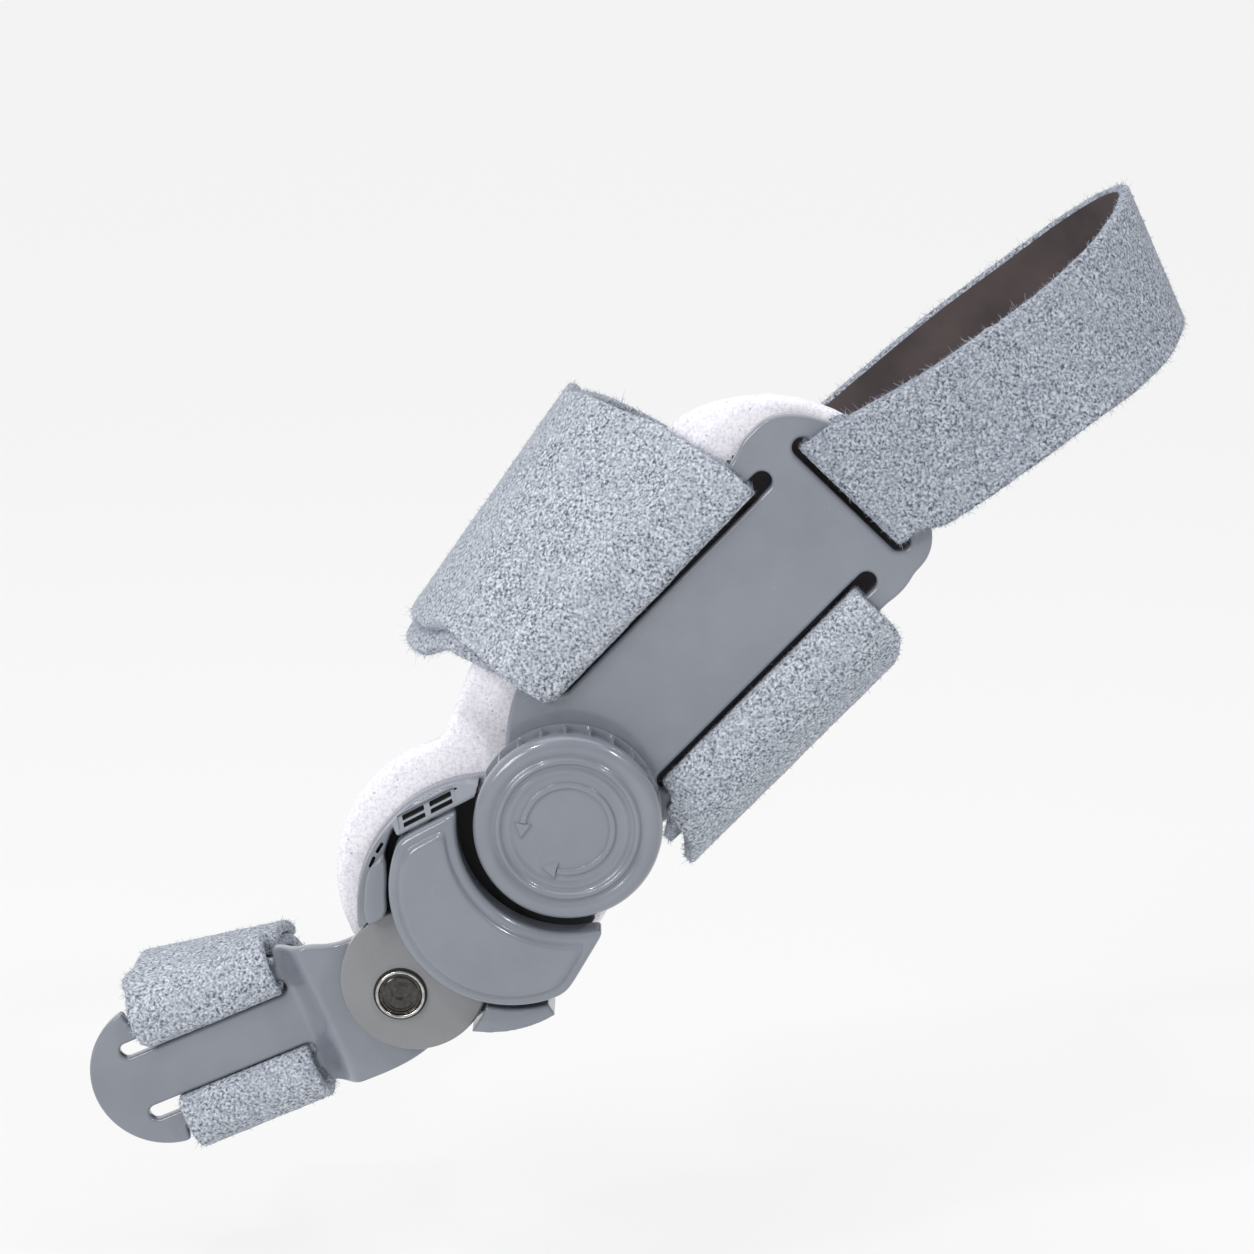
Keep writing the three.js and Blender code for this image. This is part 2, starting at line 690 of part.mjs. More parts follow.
function midfootStrap() {
  const front = -midStrapWidth / 2 - midStrapShift;
  const rear = midStrapWidth / 2 - midStrapShift;
  const gathered = -slotLength / 2 + slotEase;
  const place = (y, z, lean = 0, spread = 1) => ({
    a: new THREE.Vector3(gathered + (front - gathered) * spread + lean, y, z),
    b: new THREE.Vector3(rear + lean * 1.35, y, z),
  });
  const flare = (z) => 0.75 * Math.max(0, (z - plateThick) / strapLift) ** 2;
  const inUpper = (y, z) => place(y, z, 0, flare(z));
  const inLower = (y, z) => place(y, z, 0, 0);
  const rowsWith = (skew) => {
    const rows = [];
    for (const share of [0, 0.5, 1]) {
      rows.push(place(slotOuter + rimWidth * share, -strapLift, 0, 0.75 + share * 0.25));
    }
    for (const share of [0.25, 0.5, 0.75, 1]) {
      const y = plateHalf + wingSpan * share;
      rows.push(place(y, -strapBacking(y), -strapLean * share * 0.28));
      rows[rows.length - 1].a.x -= skew * share * 0.7;
    }
    for (const row of midfootRows) {
      const sole = row.reach < 0;
      const yAt = (crest) => plateHalf * row.rim + row.reach * ((sole ? soleDepth : crest) - plateHalf);
      const level = -strapLift - (footWidth - strapLift) * row.depth;
      const made = place(yAt(instepFront), level, strapLean * row.lean);
      made.a.x -= skew * (sole ? 0 : 1);
      made.b.y = yAt(instepRear);
      rows.push(made);
    }
    for (const share of [1, 0.5, 0]) {
      rows.push(place(-slotOuter - rimWidth * share, -strapLift, 0, share * 0.8));
    }
    return rows;
  };
  const perRow = 4;
  const ring = stationsThrough(rowsWith(ringSkew), perRow);
  const straight = stationsThrough(rowsWith(0), perRow);
  const count = ring.length;
  const offset = lapOffset(plateThick, 2 * perRow + 2, 2 * perRow);
  const soleOffset = lapOffset(plateThick, 2 * perRow + 2, 4 * perRow);
  const topLap = offsetStations(straight, offset).slice(0, 9 * perRow).reverse();
  const soleLap = offsetStations(straight, (i) => soleOffset(count - 1 - i)).slice(-6 * perRow).reverse();
  const upperTurn = rimTurn(inUpper, slotOuter, 1, plateThick, 0).slice(1, -1);
  const lowerTurn = rimTurn(inLower, -slotOuter, -1, plateThick, 0).slice(1, -1).reverse();
  return strip([...topLap, ...upperTurn, ...ring, ...lowerTurn, ...soleLap], strapThick);
}

// Heel strap: back from the rear slot past the ankle, round the tendon and forward on the far
// side, to lie on the midfoot strap. back is a share of the heel's reach beyond the plate, depth
// a share of the way to the far side, high a share of the heel's fall, and skew how far the
// upper edge lies behind the lower one, as a share of the reach.
const heelRows = [
  { back: 0.064, depth: 0.023, high: -0.26, skew: 0.065 },
  { back: 0.307, depth: 0.075, high: -0.51, skew: 0.02 },
  { back: 0.52, depth: 0.133, high: -0.7, skew: 0.015 },
  { back: 0.7, depth: 0.203, high: -0.87, skew: 0.07 },
  { back: 0.85, depth: 0.295, high: -0.97, skew: 0.12 },
  { back: 0.96, depth: 0.42, high: -1, skew: 0.155 },
  { back: 1, depth: 0.55, high: -1, skew: 0.17 },
  { back: 0.96, depth: 0.67, high: -0.99, skew: 0.155 },
  { back: 0.83, depth: 0.785, high: -0.95, skew: 0.12 },
  { back: 0.6, depth: 0.885, high: -0.88, skew: 0.07 },
  { back: 0.3, depth: 0.96, high: -0.77, skew: 0.03 },
];

function heelStrap() {
  const half = heelStrapWidth / 2;
  const top = plateThick + strapLift;
  const far = footWidth + lap + 0.4;
  const place = (x, z) => ({
    a: new THREE.Vector3(x, half, z),
    b: new THREE.Vector3(x, -half, z),
  });
  const row = (x, y, z, skew) => ({
    a: new THREE.Vector3(x + skew / 2, y + half, z),
    b: new THREE.Vector3(x - skew / 2, y - half, z),
  });
  const rows = [];
  for (const share of [0, 0.5, 1]) {
    const fall = heelFall * 0.16 * share * share;
    rows.push(row(rearSlotOuter + rearRim * share, -fall, top, heelReach * 0.06 * share * share));
  }
  for (const { back, depth, high, skew } of heelRows) {
    const level = top - (far + top) * depth;
    rows.push(row(plateRear + heelReach * back, heelFall * high, level, heelReach * skew));
  }
  const restFrom = midStrapWidth / 2 - midStrapShift - strapLean * 0.5 + 5;
  for (const share of [0, 0.3, 1]) {
    rows.push(row(restFrom - share * midStrapWidth * 0.66, -heelFall * 0.6, -far, 0));
  }
  const perRow = 4;
  const outer = stationsThrough(rows, perRow);
  const offset = lapOffset(plateThick, 2 * perRow + 1, 1.5 * perRow);
  const inner = offsetStations(outer, (i) => -offset(i)).slice(0, heelLapLength * perRow);
  const turn = rimTurn(place, rearSlotOuter, 1, plateThick, 0).slice(1, -1);
  return strip([...inner.reverse(), ...turn.reverse(), ...outer], strapThick);
}

// Toe strap: rows round the toe in the toe frame, heights as shares of the loop's height
const toeRows = [
  { high: 0.95, depth: 0.12, lean: -0.6 },
  { high: 1, depth: 0.34, lean: -1 },
  { high: 0.9, depth: 0.66, lean: -0.8 },
  { high: 0.55, depth: 0.92, lean: -0.4 },
  { high: 0, depth: 1, lean: 0 },
  { high: -0.5, depth: 0.93, lean: 0 },
  { high: -0.8, depth: 0.7, lean: 0 },
  { high: -0.87, depth: 0.4, lean: 0 },
  { high: -0.84, depth: 0.14, lean: 0 },
];

function toeStrap() {
  const rear = -toeSlotFirst - slotEase;
  const front = rear - toeStrapWidth;
  const place = (y, z, lean = 0) => ({
    a: new THREE.Vector3(front + lean, y, z),
    b: new THREE.Vector3(rear, y, z),
  });
  const back = toePlateBottom - strapLift;
  const rowsWith = (skew, spread) => {
    const rows = [];
    for (const share of [0, 0.5, 1]) {
      rows.push(place(toeSlotOuter + (armSeat - toeSlotOuter) * share, back, -spread));
    }
    for (const row of toeRows) {
      const level = back - toeDepth * row.depth;
      const upper = row.high > 0;
      const lean = row.lean * skew - (upper ? spread : 0);
      const made = place((upper ? toeHeightFront : toeSoleDepth) * row.high, level, lean);
      made.b.y = (upper ? toeHeightRear : toeSoleDepth) * row.high;
      rows.push(made);
    }
    for (const share of [1, 0.5, 0]) {
      const y = -toeSlotOuter - (armSeat - toeSlotOuter) * share;
      rows.push(place(y, back));
    }
    return rows;
  };
  const perRow = 4;
  const ring = stationsThrough(rowsWith(toeSkew, 0), perRow);
  const straight = stationsThrough(rowsWith(0, 0), perRow);
  const spread = stationsThrough(rowsWith(-toeSpread, toeSpread), perRow);
  const count = ring.length;
  const offset = lapOffset(armThick, 2 * perRow + 1, perRow + 1);
  const topLap = offsetStations(spread, offset).slice(0, 6 * perRow).reverse();
  const soleLap = offsetStations(straight, (i) => offset(count - 1 - i)).slice(-4 * perRow).reverse();
  const flare = (z) => -toeSpread * Math.max(0, (z - toePlateTop) / strapLift) ** 2;
  const inUpper = (y, z) => place(y, z, flare(z));
  const turnTop = rimTurn(inUpper, toeSlotOuter, 1, toePlateTop, toePlateBottom, 2).slice(1, -1);
  const turnLow = rimTurn(place, -toeSlotOuter, -1, toePlateTop, toePlateBottom, 2).slice(1, -1);
  return strip([...topLap, ...turnTop, ...ring, ...turnLow.reverse(), ...soleLap], strapThick);
}

// The assembly
const brace = new THREE.Group();
brace.add(meshOf("side_plate", sidePlate(), moulded));
brace.add(meshOf("joint_base", jointBase(), moulded));
brace.add(meshOf("crescent_cover", crescentCover(), moulded));
brace.add(meshOf("foam_pad", foamPad(), foam));
brace.add(meshOf("midfoot_strap", midfootStrap(), loopFabric));
brace.add(meshOf("heel_strap", heelStrap(), loopFabric));

const dialMesh = meshOf("dial", dial(), moulded);
dialMesh.position.set(dialPoint.x, dialPoint.y, 0);
brace.add(dialMesh);

const hub = new THREE.Group();
hub.position.set(rivetPoint.x, rivetPoint.y, 0);
hub.add(meshOf("hub_disc", hubDisc(), hubPlastic));
hub.add(meshOf("rivet_button", rivet(), steel));
brace.add(hub);

const toe = new THREE.Group();
toe.position.copy(hub.position);
toe.rotation.z = radians(-toeRise);
toe.add(meshOf("toe_arm", toeArm(), moulded));
toe.add(meshOf("toe_strap", toeStrap(), loopFabric));
brace.add(toe);

// The zero of the whole part lies on the foam's inner face, midway between the slots
brace.position.z = gap + foamThick;
const standing = new THREE.Group();
standing.rotation.x = Math.PI / 2;
standing.add(brace);
const part = new THREE.Group();
part.rotation.y = radians(-plateRise);
part.add(standing);

export default part;
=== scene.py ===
import math

import bmesh
import bpy
import numpy as np
from mathutils import Matrix, Vector, noise
from mathutils.geometry import tessellate_polygon


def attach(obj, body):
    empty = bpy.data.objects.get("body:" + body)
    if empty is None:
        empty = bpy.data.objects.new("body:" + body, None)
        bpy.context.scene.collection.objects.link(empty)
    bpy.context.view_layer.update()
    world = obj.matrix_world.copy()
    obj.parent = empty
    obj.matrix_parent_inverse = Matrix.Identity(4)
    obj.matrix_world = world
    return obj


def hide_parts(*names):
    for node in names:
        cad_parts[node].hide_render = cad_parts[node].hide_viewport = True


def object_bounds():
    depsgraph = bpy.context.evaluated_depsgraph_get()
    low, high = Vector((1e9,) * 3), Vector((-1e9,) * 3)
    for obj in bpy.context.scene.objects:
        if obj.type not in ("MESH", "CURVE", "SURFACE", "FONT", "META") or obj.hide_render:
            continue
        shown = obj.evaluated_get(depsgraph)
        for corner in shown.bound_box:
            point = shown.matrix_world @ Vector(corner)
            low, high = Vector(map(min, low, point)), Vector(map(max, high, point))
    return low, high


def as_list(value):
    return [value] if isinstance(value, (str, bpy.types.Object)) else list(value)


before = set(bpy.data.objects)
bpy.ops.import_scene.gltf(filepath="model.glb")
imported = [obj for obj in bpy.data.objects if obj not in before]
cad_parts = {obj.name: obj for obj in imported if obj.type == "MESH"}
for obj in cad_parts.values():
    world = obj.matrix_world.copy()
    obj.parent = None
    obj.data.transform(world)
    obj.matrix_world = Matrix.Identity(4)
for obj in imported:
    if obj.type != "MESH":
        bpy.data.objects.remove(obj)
cad_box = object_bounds()
scene = bpy.context.scene

# Places in the brace frame, in millimetres: x along the plate, y to the instep, z outward
PLATE_RISE = math.radians(46)
TOE_RISE = math.radians(22.8)
ORIGIN_DEPTH = 5.3
DIAL = (-42.0, -4.4)
COVER = (-57.5, -5.2)
RIVET = (-87.0, -5.4)
BASE = (-64.3, -6.0)
DIAL_RADIUS = 16.9
COVER_RADIUS = 21.9
PLATE_THICK = 3.0
STRAP_THICK = 2.2
GAP = 0.3
FOOT_DEPTH = 79
SLOT_LENGTH, SLOT_WIDTH, SLOT_SPACING, RIM = 54.6, 3.7, 26.1, 3.6
SLOT_OUTER = SLOT_SPACING / 2 + SLOT_WIDTH / 2
PLATE_HALF = SLOT_OUTER + RIM
REAR_SLOT = SLOT_LENGTH / 2 + 7.45
REAR_SLOT_LENGTH = 28.0
REAR_OUTER = REAR_SLOT + SLOT_WIDTH / 2
REAR_RIM = 6.9
PLATE_REAR = REAR_OUTER + REAR_RIM
TOE_REAR = -21.9
TOE_WIDTH = 26.5
TOE_SEAT = 10.6
TOE_SPREAD = 1.6
TOE_SLOT, TOE_SLOT_WIDTH = 6.55, 2.8
ARM_TOP, ARM_THICK, ARM_STEP = 2.7, 2.4, 7.3
LIFT = GAP + STRAP_THICK / 2
LAP = STRAP_THICK + GAP
TOE_SWING = 0.028  # room in metres under the toe arm for its lowest pose

cos_r, sin_r = math.cos(PLATE_RISE), math.sin(PLATE_RISE)
BRACE_FRAME = Matrix(
    (
        (cos_r * 0.001, -sin_r * 0.001, 0, 0),
        (0, 0, -0.001, -ORIGIN_DEPTH * 0.001),
        (sin_r * 0.001, cos_r * 0.001, 0, 0),
        (0, 0, 0, 1),
    )
)
DIAL_FRAME = BRACE_FRAME @ Matrix.Translation((DIAL[0], DIAL[1], 0))
HUB_FRAME = BRACE_FRAME @ Matrix.Translation((RIVET[0], RIVET[1], 0))
TOE_FRAME = HUB_FRAME @ Matrix.Rotation(-TOE_RISE, 4, "Z")


# Camera: the photograph's angle
camera_data = bpy.data.cameras.new("camera")
camera = bpy.data.objects.new("camera", camera_data)
scene.collection.objects.link(camera)
camera.location = (-0.01548, -0.64164, 0.14733)
camera.rotation_euler = (math.radians(77), 0, 0)
camera_data.sensor_width = 36
camera_data.lens = 104.84
camera_data.clip_start = 0.01
camera_data.clip_end = 20
scene.camera = camera


# Node materials
class Nodes:
    """A node material with textures in the piece's own coordinates."""

    def __init__(self, name):
        self.material = bpy.data.materials.new(name)
        self.material.use_nodes = True
        self.tree = self.material.node_tree
        self.shader = self.tree.nodes["Principled BSDF"]
        self.where = self.add("ShaderNodeTexCoord").outputs["Object"]

    def add(self, kind, **values):
        node = self.tree.nodes.new(kind)
        for key, value in values.items():
            setattr(node, key, value)
        return node

    def feed(self, socket, value):
        if isinstance(value, (int, float, tuple)):
            socket.default_value = value
        else:
            self.tree.links.new(value, socket)

    def set(self, name, value):
        self.feed(self.shader.inputs[name], value)

    def texture(self, kind, size_mm, output, **inputs):
        node = self.add(kind)
        self.feed(node.inputs["Scale"], 1000.0 / size_mm)
        self.feed(node.inputs["Vector"], self.where)
        for name, value in inputs.items():
            self.feed(node.inputs[name], value)
        return node.outputs[output]

    def noise(self, size_mm, detail, rough, distortion=0.0):
        inputs = {"Detail": detail, "Roughness": rough, "Distortion": distortion}
        return self.texture("ShaderNodeTexNoise", size_mm, "Fac", **inputs)

    def ramp(self, fac, stops):
        node = self.add("ShaderNodeValToRGB")
        elements = node.color_ramp.elements
        while len(elements) > 1:
            elements.remove(elements[-1])
        elements[0].position = stops[0][0]
        elements[0].color = srgb(*stops[0][1])
        for position, colour in stops[1:]:
            elements.new(position).color = srgb(*colour)
        self.feed(node.inputs["Fac"], fac)
        return node.outputs["Color"]

    def math(self, kind, *values):
        node = self.add("ShaderNodeMath", operation=kind)
        for socket, value in zip(node.inputs, values):
            self.feed(socket, value)
        return node.outputs[0]

    def mix(self, fac, a, b):
        node = self.add("ShaderNodeMix", data_type="RGBA")
        for socket, value in ((0, fac), (6, a), (7, b)):
            self.feed(node.inputs[socket], value)
        return node.outputs[2]

    def bump(self, height, strength, distance_mm, before=None):
        node = self.add("ShaderNodeBump")
        self.feed(node.inputs["Strength"], strength)
        self.feed(node.inputs["Distance"], distance_mm * 0.001)
        self.feed(node.inputs["Height"], height)
        if before is not None:
            self.feed(node.inputs["Normal"], before)
        return node.outputs["Normal"]


def srgb(r, g, b):
    def one(v):
        v /= 255
        return v / 12.92 if v <= 0.04045 else ((v + 0.055) / 1.055) ** 2.4

    return (one(r), one(g), one(b), 1)


def moulded_material(name, low, high, roughness=0.36):
    n = Nodes(name)
    soft = n.noise(14, 3, 0.55)
    n.set("Base Color", n.ramp(soft, [(0.3, low), (0.7, high)]))
    grain = n.noise(0.35, 3, 0.6)
    smear = n.noise(6, 4, 0.6)
    rough = n.math("MULTIPLY_ADD", smear, 0.16, roughness - 0.08)
    n.set("Roughness", n.math("MULTIPLY_ADD", grain, 0.06, rough))
    first = n.bump(grain, 0.06, 0.03)
    n.set("Normal", n.bump(n.noise(4.5, 2, 0.5), 0.10, 0.05, first))
    n.set("Specular IOR Level", 0.5)
    if roughness < 0.4:
        n.set("Coat Weight", 0.7)
        n.set("Coat Roughness", 0.09)
    return n.material


def loop_fabric_material(name, dark, mid, light, bright):
    n = Nodes(name)
    curls = n.noise(0.52, 1.0, 0.5, 0.4)
    knots = n.noise(1.5, 1.5, 0.5, 0.6)
    patch = n.noise(7, 3, 0.6)
    contrast = n.math("MULTIPLY_ADD", n.math("SUBTRACT", patch, 0.5), 1.5, 1.2)
    loops = n.math("MULTIPLY", n.math("SUBTRACT", curls, 0.5), contrast)
    loops = n.math("MULTIPLY_ADD", n.math("SUBTRACT", knots, 0.5), 0.14, loops)
    height = n.math("ADD", loops, 0.5)
    n.set("Base Color", n.ramp(height, [(0.22, dark), (0.42, mid), (0.56, light), (0.76, bright)]))
    n.set("Roughness", 1.0)
    n.set("Specular IOR Level", 0.1)
    first = n.bump(height, 0.6, 0.4)
    n.set("Normal", n.bump(n.noise(3.2, 2, 0.5), 0.25, 0.3, first))
    return n.material


def foam_material():
    n = Nodes("perforated_foam")
    dots = n.texture("ShaderNodeTexVoronoi", 1.25, "Distance", Randomness=0.95)
    mask = n.noise(1.9, 1, 0.5)
    hole = n.math("LESS_THAN", dots, n.math("MULTIPLY_ADD", mask, 0.5, -0.16))
    fine = n.noise(0.6, 3, 0.7)
    base = n.ramp(fine, [(0.36, (222, 219, 231)), (0.5, (241, 239, 246)), (0.62, (250, 249, 253))])
    # Painted shade: the perforations are coloured darker than the foam round them
    n.set("Base Color", n.mix(hole, base, srgb(194, 191, 206)))
    n.set("Roughness", 0.95)
    n.set("Specular IOR Level", 0.2)
    deep = n.math("MULTIPLY_ADD", hole, -1.0, n.math("MULTIPLY", fine, 0.35))
    n.set("Normal", n.bump(deep, 0.7, 0.25))
    return n.material


def steel_material(name, tone, roughness):
    n = Nodes(name)
    spots = n.noise(0.8, 3, 0.6)
    darker = [v * 0.72 for v in tone]
    n.set("Base Color", n.ramp(spots, [(0.3, darker), (0.7, tone)]))
    n.set("Metallic", 1.0)
    n.set("Roughness", n.math("MULTIPLY_ADD", n.noise(0.5, 3, 0.7), 0.2, roughness - 0.1))
    n.set("Normal", n.bump(spots, 0.08, 0.03))
    return n.material


def fibre_material(name, low, high):
    n = Nodes(name)
    n.set("Base Color", n.ramp(n.noise(2.0, 2, 0.6), [(0.35, low), (0.65, high)]))
    n.set("Roughness", 0.9)
    n.set("Sheen Weight", 0.3)
    return n.material


moulded = moulded_material("moulded_grey", (123, 128, 138), (132, 137, 147), 0.21)
hub_plastic = moulded_material("moulded_warm_grey", (125, 126, 129), (133, 134, 137), 0.24)
loop_fabric = loop_fabric_material(
    "loop_fabric", (88, 96, 108), (156, 162, 173), (182, 188, 198), (218, 222, 229)
)
# Painted shade: a darker copy of the loop fabric for the heel strap, which faces away from the light
loop_fabric_shaded = loop_fabric_material(
    "loop_fabric_painted_shade", (80, 88, 99), (143, 149, 160), (167, 173, 184), (202, 207, 215)
)
# The straps' back face; its dark brown tone is partly painted shade, for the dark gaps at the slots and the
# shaded side next to the foot
lining_and_shade = moulded_material("strap_lining_and_shade", (58, 52, 54), (84, 73, 73), 0.85)
foam = foam_material()
# Painted shade for the foam seen through the slots
slot_shade = moulded_material("slot_shade", (62, 57, 61), (82, 76, 80), 0.85)
rivet_bright = steel_material("rivet_bright", (214, 212, 208), 0.22)
rivet_dark = steel_material("rivet_dark", (88, 86, 84), 0.18)
# Painted shade: a near-black plastic put in gaps, slits and recesses to stand for the shadow in them
painted_hollow_shade = moulded_material("painted_hollow_shade", (22, 23, 25), (36, 37, 39), 0.6)
fibre_light = fibre_material("fibre_light", (140, 150, 163), (190, 197, 208))


# Making pieces
def dress(mesh, materials):
    mesh.materials.clear()
    for material in materials:
        mesh.materials.append(material)


def face_outward(mesh):
    bm = bmesh.new()
    bm.from_mesh(mesh)
    bmesh.ops.recalc_face_normals(bm, faces=bm.faces)
    bm.to_mesh(mesh)
    bm.free()


def sharpen(mesh, degrees):
    bm = bmesh.new()
    bm.from_mesh(mesh)
    limit = math.radians(degrees)
    for face in bm.faces:
        face.smooth = True
    for edge in bm.edges:
        edge.smooth = len(edge.link_faces) == 2 and edge.calc_face_angle(0) < limit
    bm.to_mesh(mesh)
    bm.free()


def shown(name, verts, faces, where, materials):
    """An object from millimetre points in the frame that is given."""
    mesh = bpy.data.meshes.new(name)
    mesh.from_pydata([tuple(where @ Vector(v)) for v in verts], [], faces)
    dress(mesh, materials)
    obj = bpy.data.objects.new(name, mesh)
    scene.collection.objects.link(obj)
    return obj


def piece(name, verts, faces, where, materials, body, nodes, angle=38, face_slots=None):
    obj = shown(name, verts, faces, where, materials)
    mesh = obj.data
    if face_slots is not None:
        mesh.polygons.foreach_set("material_index", face_slots)
    mesh.validate()
    face_outward(mesh)
    sharpen(mesh, angle)
    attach(obj, body)
    if nodes:
        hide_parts(*nodes)
    return obj


# Flat outlines
class Path:
    def __init__(self, x, y):
        self.points = [(x, y)]

    def line(self, x, y):
        self.points.append((x, y))
        return self

    def quad(self, cx, cy, x, y, steps=16):
        x0, y0 = self.points[-1]
        for i in range(1, steps + 1):
            t = i / steps
            a, b, c = (1 - t) ** 2, 2 * t * (1 - t), t * t
            self.points.append((a * x0 + b * cx + c * x, a * y0 + b * cy + c * y))
        return self

    def cubic(self, ax, ay, bx, by, x, y, steps=24):
        x0, y0 = self.points[-1]
        for i in range(1, steps + 1):
            t = i / steps
            w = ((1 - t) ** 3, 3 * t * (1 - t) ** 2, 3 * t * t * (1 - t), t**3)
            px = w[0] * x0 + w[1] * ax + w[2] * bx + w[3] * x
            py = w[0] * y0 + w[1] * ay + w[2] * by + w[3] * y
            self.points.append((px, py))
        return self

    def arc(self, cx, cy, r, start, end, steps=48):
        for i in range(steps + 1):
            a = start + (end - start) * i / steps
            self.points.append((cx + r * math.cos(a), cy + r * math.sin(a)))
        return self


def resample(points, spacing, sigma=0.0):
    """Evenly spaced points on a closed outline, smoothed over sigma millimetres."""
    pts = np.array(points, float)
    pts = np.vstack([pts, pts[:1]])
    keep = [0]
    for i in range(1, len(pts)):
        if np.linalg.norm(pts[i] - pts[keep[-1]]) > 1e-6:
            keep.append(i)
    pts = pts[keep]
    steps = np.linalg.norm(np.diff(pts, axis=0), axis=1)
    dist = np.concatenate([[0], np.cumsum(steps)])
    count = max(12, int(round(dist[-1] / spacing)))
    at = np.linspace(0, dist[-1], count, endpoint=False)
    out = np.stack([np.interp(at, dist, pts[:, k]) for k in range(2)], axis=1)
    if sigma:
        reach = int(math.ceil(3 * sigma / spacing))
        weights = np.exp(-0.5 * (np.arange(-reach, reach + 1) * spacing / sigma) ** 2)
        weights /= weights.sum()
        out = sum(w * np.roll(out, -k, axis=0) for k, w in zip(range(-reach, reach + 1), weights))
    return out


def ccw(loop):
    x, y = loop[:, 0], loop[:, 1]
    area = 0.5 * np.sum(x * np.roll(y, -1) - y * np.roll(x, -1))
    return loop if area > 0 else loop[::-1]


def inset(loop, distance):
    along = np.roll(loop, -1, axis=0) - np.roll(loop, 1, axis=0)
    along /= np.linalg.norm(along, axis=1)[:, None] + 1e-12
    inward = np.stack([-along[:, 1], along[:, 0]], axis=1)
    return loop + inward * distance


def slab(outer, holes, low, high, radius, under=None, spacing=0.8, sigma=0.5):
    """A plate between two levels with rounded edges: vertices and faces."""
    under = radius if under is None else under
    verts, faces = [], []
    caps = {"top": [], "bottom": []}
    quarter = [math.pi / 2 * i / 4 for i in range(5)]
    loops = [(ccw(resample(outer, spacing, sigma)), 1)]
    loops += [(ccw(resample(hole, spacing * 0.6)), -1) for hole in holes]
    for loop, sign in loops:
        n = len(loop)
        rings = [(under + 0.05, low)]
        rings += [(under * (1 - math.sin(a)), low + under * (1 - math.cos(a))) for a in quarter]
        rings += [(radius * (1 - math.cos(a)), high - radius * (1 - math.sin(a))) for a in quarter]
        rings.append((radius + 0.05, high))
        start = len(verts)
        for distance, z in rings:
            verts += [(p[0], p[1], z) for p in inset(loop, sign * distance)]
        for k in range(len(rings) - 1):
            for i in range(n):
                j = (i + 1) % n
                a, b = start + k * n + i, start + k * n + j
                quad = (a, b, b + n, a + n)
                faces.append(quad if sign > 0 else quad[::-1])
        caps["bottom"].append(list(range(start, start + n)))
        last = start + (len(rings) - 1) * n
        caps["top"].append(list(range(last, last + n)))
    for side in ("top", "bottom"):
        polys = [[Vector((verts[i][0], verts[i][1], 0)) for i in ring] for ring in caps[side]]
        flat = [i for ring in caps[side] for i in ring]
        for tri in tessellate_polygon(polys):
            a, b, c = (flat[i] for i in tri)
            ax, ay, _ = verts[a]
            bx, by, _ = verts[b]
            cx, cy, _ = verts[c]
            turn = (bx - ax) * (cy - ay) - (by - ay) * (cx - ax)
            if abs(turn) < 1e-9:
                continue
            if (turn > 0) != (side == "top"):
                b, c = c, b
            faces.append((a, b, c))
    return verts, faces


def slot_path(x0, x1, y, width, along_y=False):
    r = width / 2
    path = Path(x1 - r, y - r)
    path.arc(x1 - r, y, r, -math.pi / 2, math.pi / 2, 16)
    path.arc(x0 + r, y, r, math.pi / 2, math.pi * 1.5, 16)
    if along_y:
        return [(-py, px) for px, py in path.points]
    return path.points


def turned(profile, sides, radius_at=None):
    """Rings of a turned body. profile is (r, z) from the bottom's middle to the top's."""
    verts, faces = [], []
    rings = []
    for k, (r, z) in enumerate(profile):
        if r < 1e-6:
            rings.append([len(verts)])
            verts.append((0, 0, z))
            continue
        ring = []
        for i in range(sides):
            a = 2 * math.pi * i / sides
            reach = r if radius_at is None else radius_at(k, r, i)
            ring.append(len(verts))
            verts.append((reach * math.cos(a), reach * math.sin(a), z))
        rings.append(ring)
    for low, high in zip(rings, rings[1:]):
        for i in range(sides):
            j = (i + 1) % sides
            if len(low) == 1:
                faces.append((low[0], high[j], high[i]))
            elif len(high) == 1:
                faces.append((low[i], low[j], high[0]))
            else:
                faces.append((low[i], low[j], high[j], high[i]))
    return verts, faces


# Side plate
def side_plate():
    half = SLOT_LENGTH / 2
    top = PLATE_HALF + 2.1
    front = -half - 3
    path = Path(DIAL[0], DIAL[1] - DIAL_RADIUS * 0.84)
    path.line(front - 3, -PLATE_HALF + 1.2)
    path.quad(front, -PLATE_HALF, front + 3, -PLATE_HALF)
    path.line(half - 2, -PLATE_HALF)
    path.quad(half + 2, -PLATE_HALF - 0.8, half + 5, -PLATE_HALF + 0.4)
    path.line(REAR_SLOT - 1, -PLATE_HALF + 0.4)
    path.cubic(REAR_SLOT + 5.5, -PLATE_HALF + 0.4, PLATE_REAR, -11, PLATE_REAR, -2)
    path.line(PLATE_REAR, 2)
    path.cubic(PLATE_REAR - 0.4, 12, REAR_SLOT + 2.8, top, REAR_SLOT - 2.8, top)
    path.line(half + 1, top)
    path.quad(half - 3, PLATE_HALF + 0.3, half - 8, PLATE_HALF)
    path.line(front - 1, PLATE_HALF - 0.2)
    path.quad(front - 4, PLATE_HALF - 1, front - 8, PLATE_HALF - 4)
    path.line(DIAL[0] - 1, DIAL[1] + DIAL_RADIUS - 1.7)
    path.arc(DIAL[0], DIAL[1], DIAL_RADIUS - 1.6, math.radians(92), math.radians(268), 60)
    slots = [
        slot_path(-half, half, SLOT_SPACING / 2, SLOT_WIDTH),
        slot_path(-half, half, -SLOT_SPACING / 2, SLOT_WIDTH),
        slot_path(-REAR_SLOT_LENGTH / 2, REAR_SLOT_LENGTH / 2, -REAR_SLOT, SLOT_WIDTH, True),
    ]
    verts, faces = slab(path.points, slots, 0, PLATE_THICK, 0.7, 0.35)
    piece("side_plate_shell", verts, faces, BRACE_FRAME, [moulded], "brace", ["side_plate"])


side_plate()


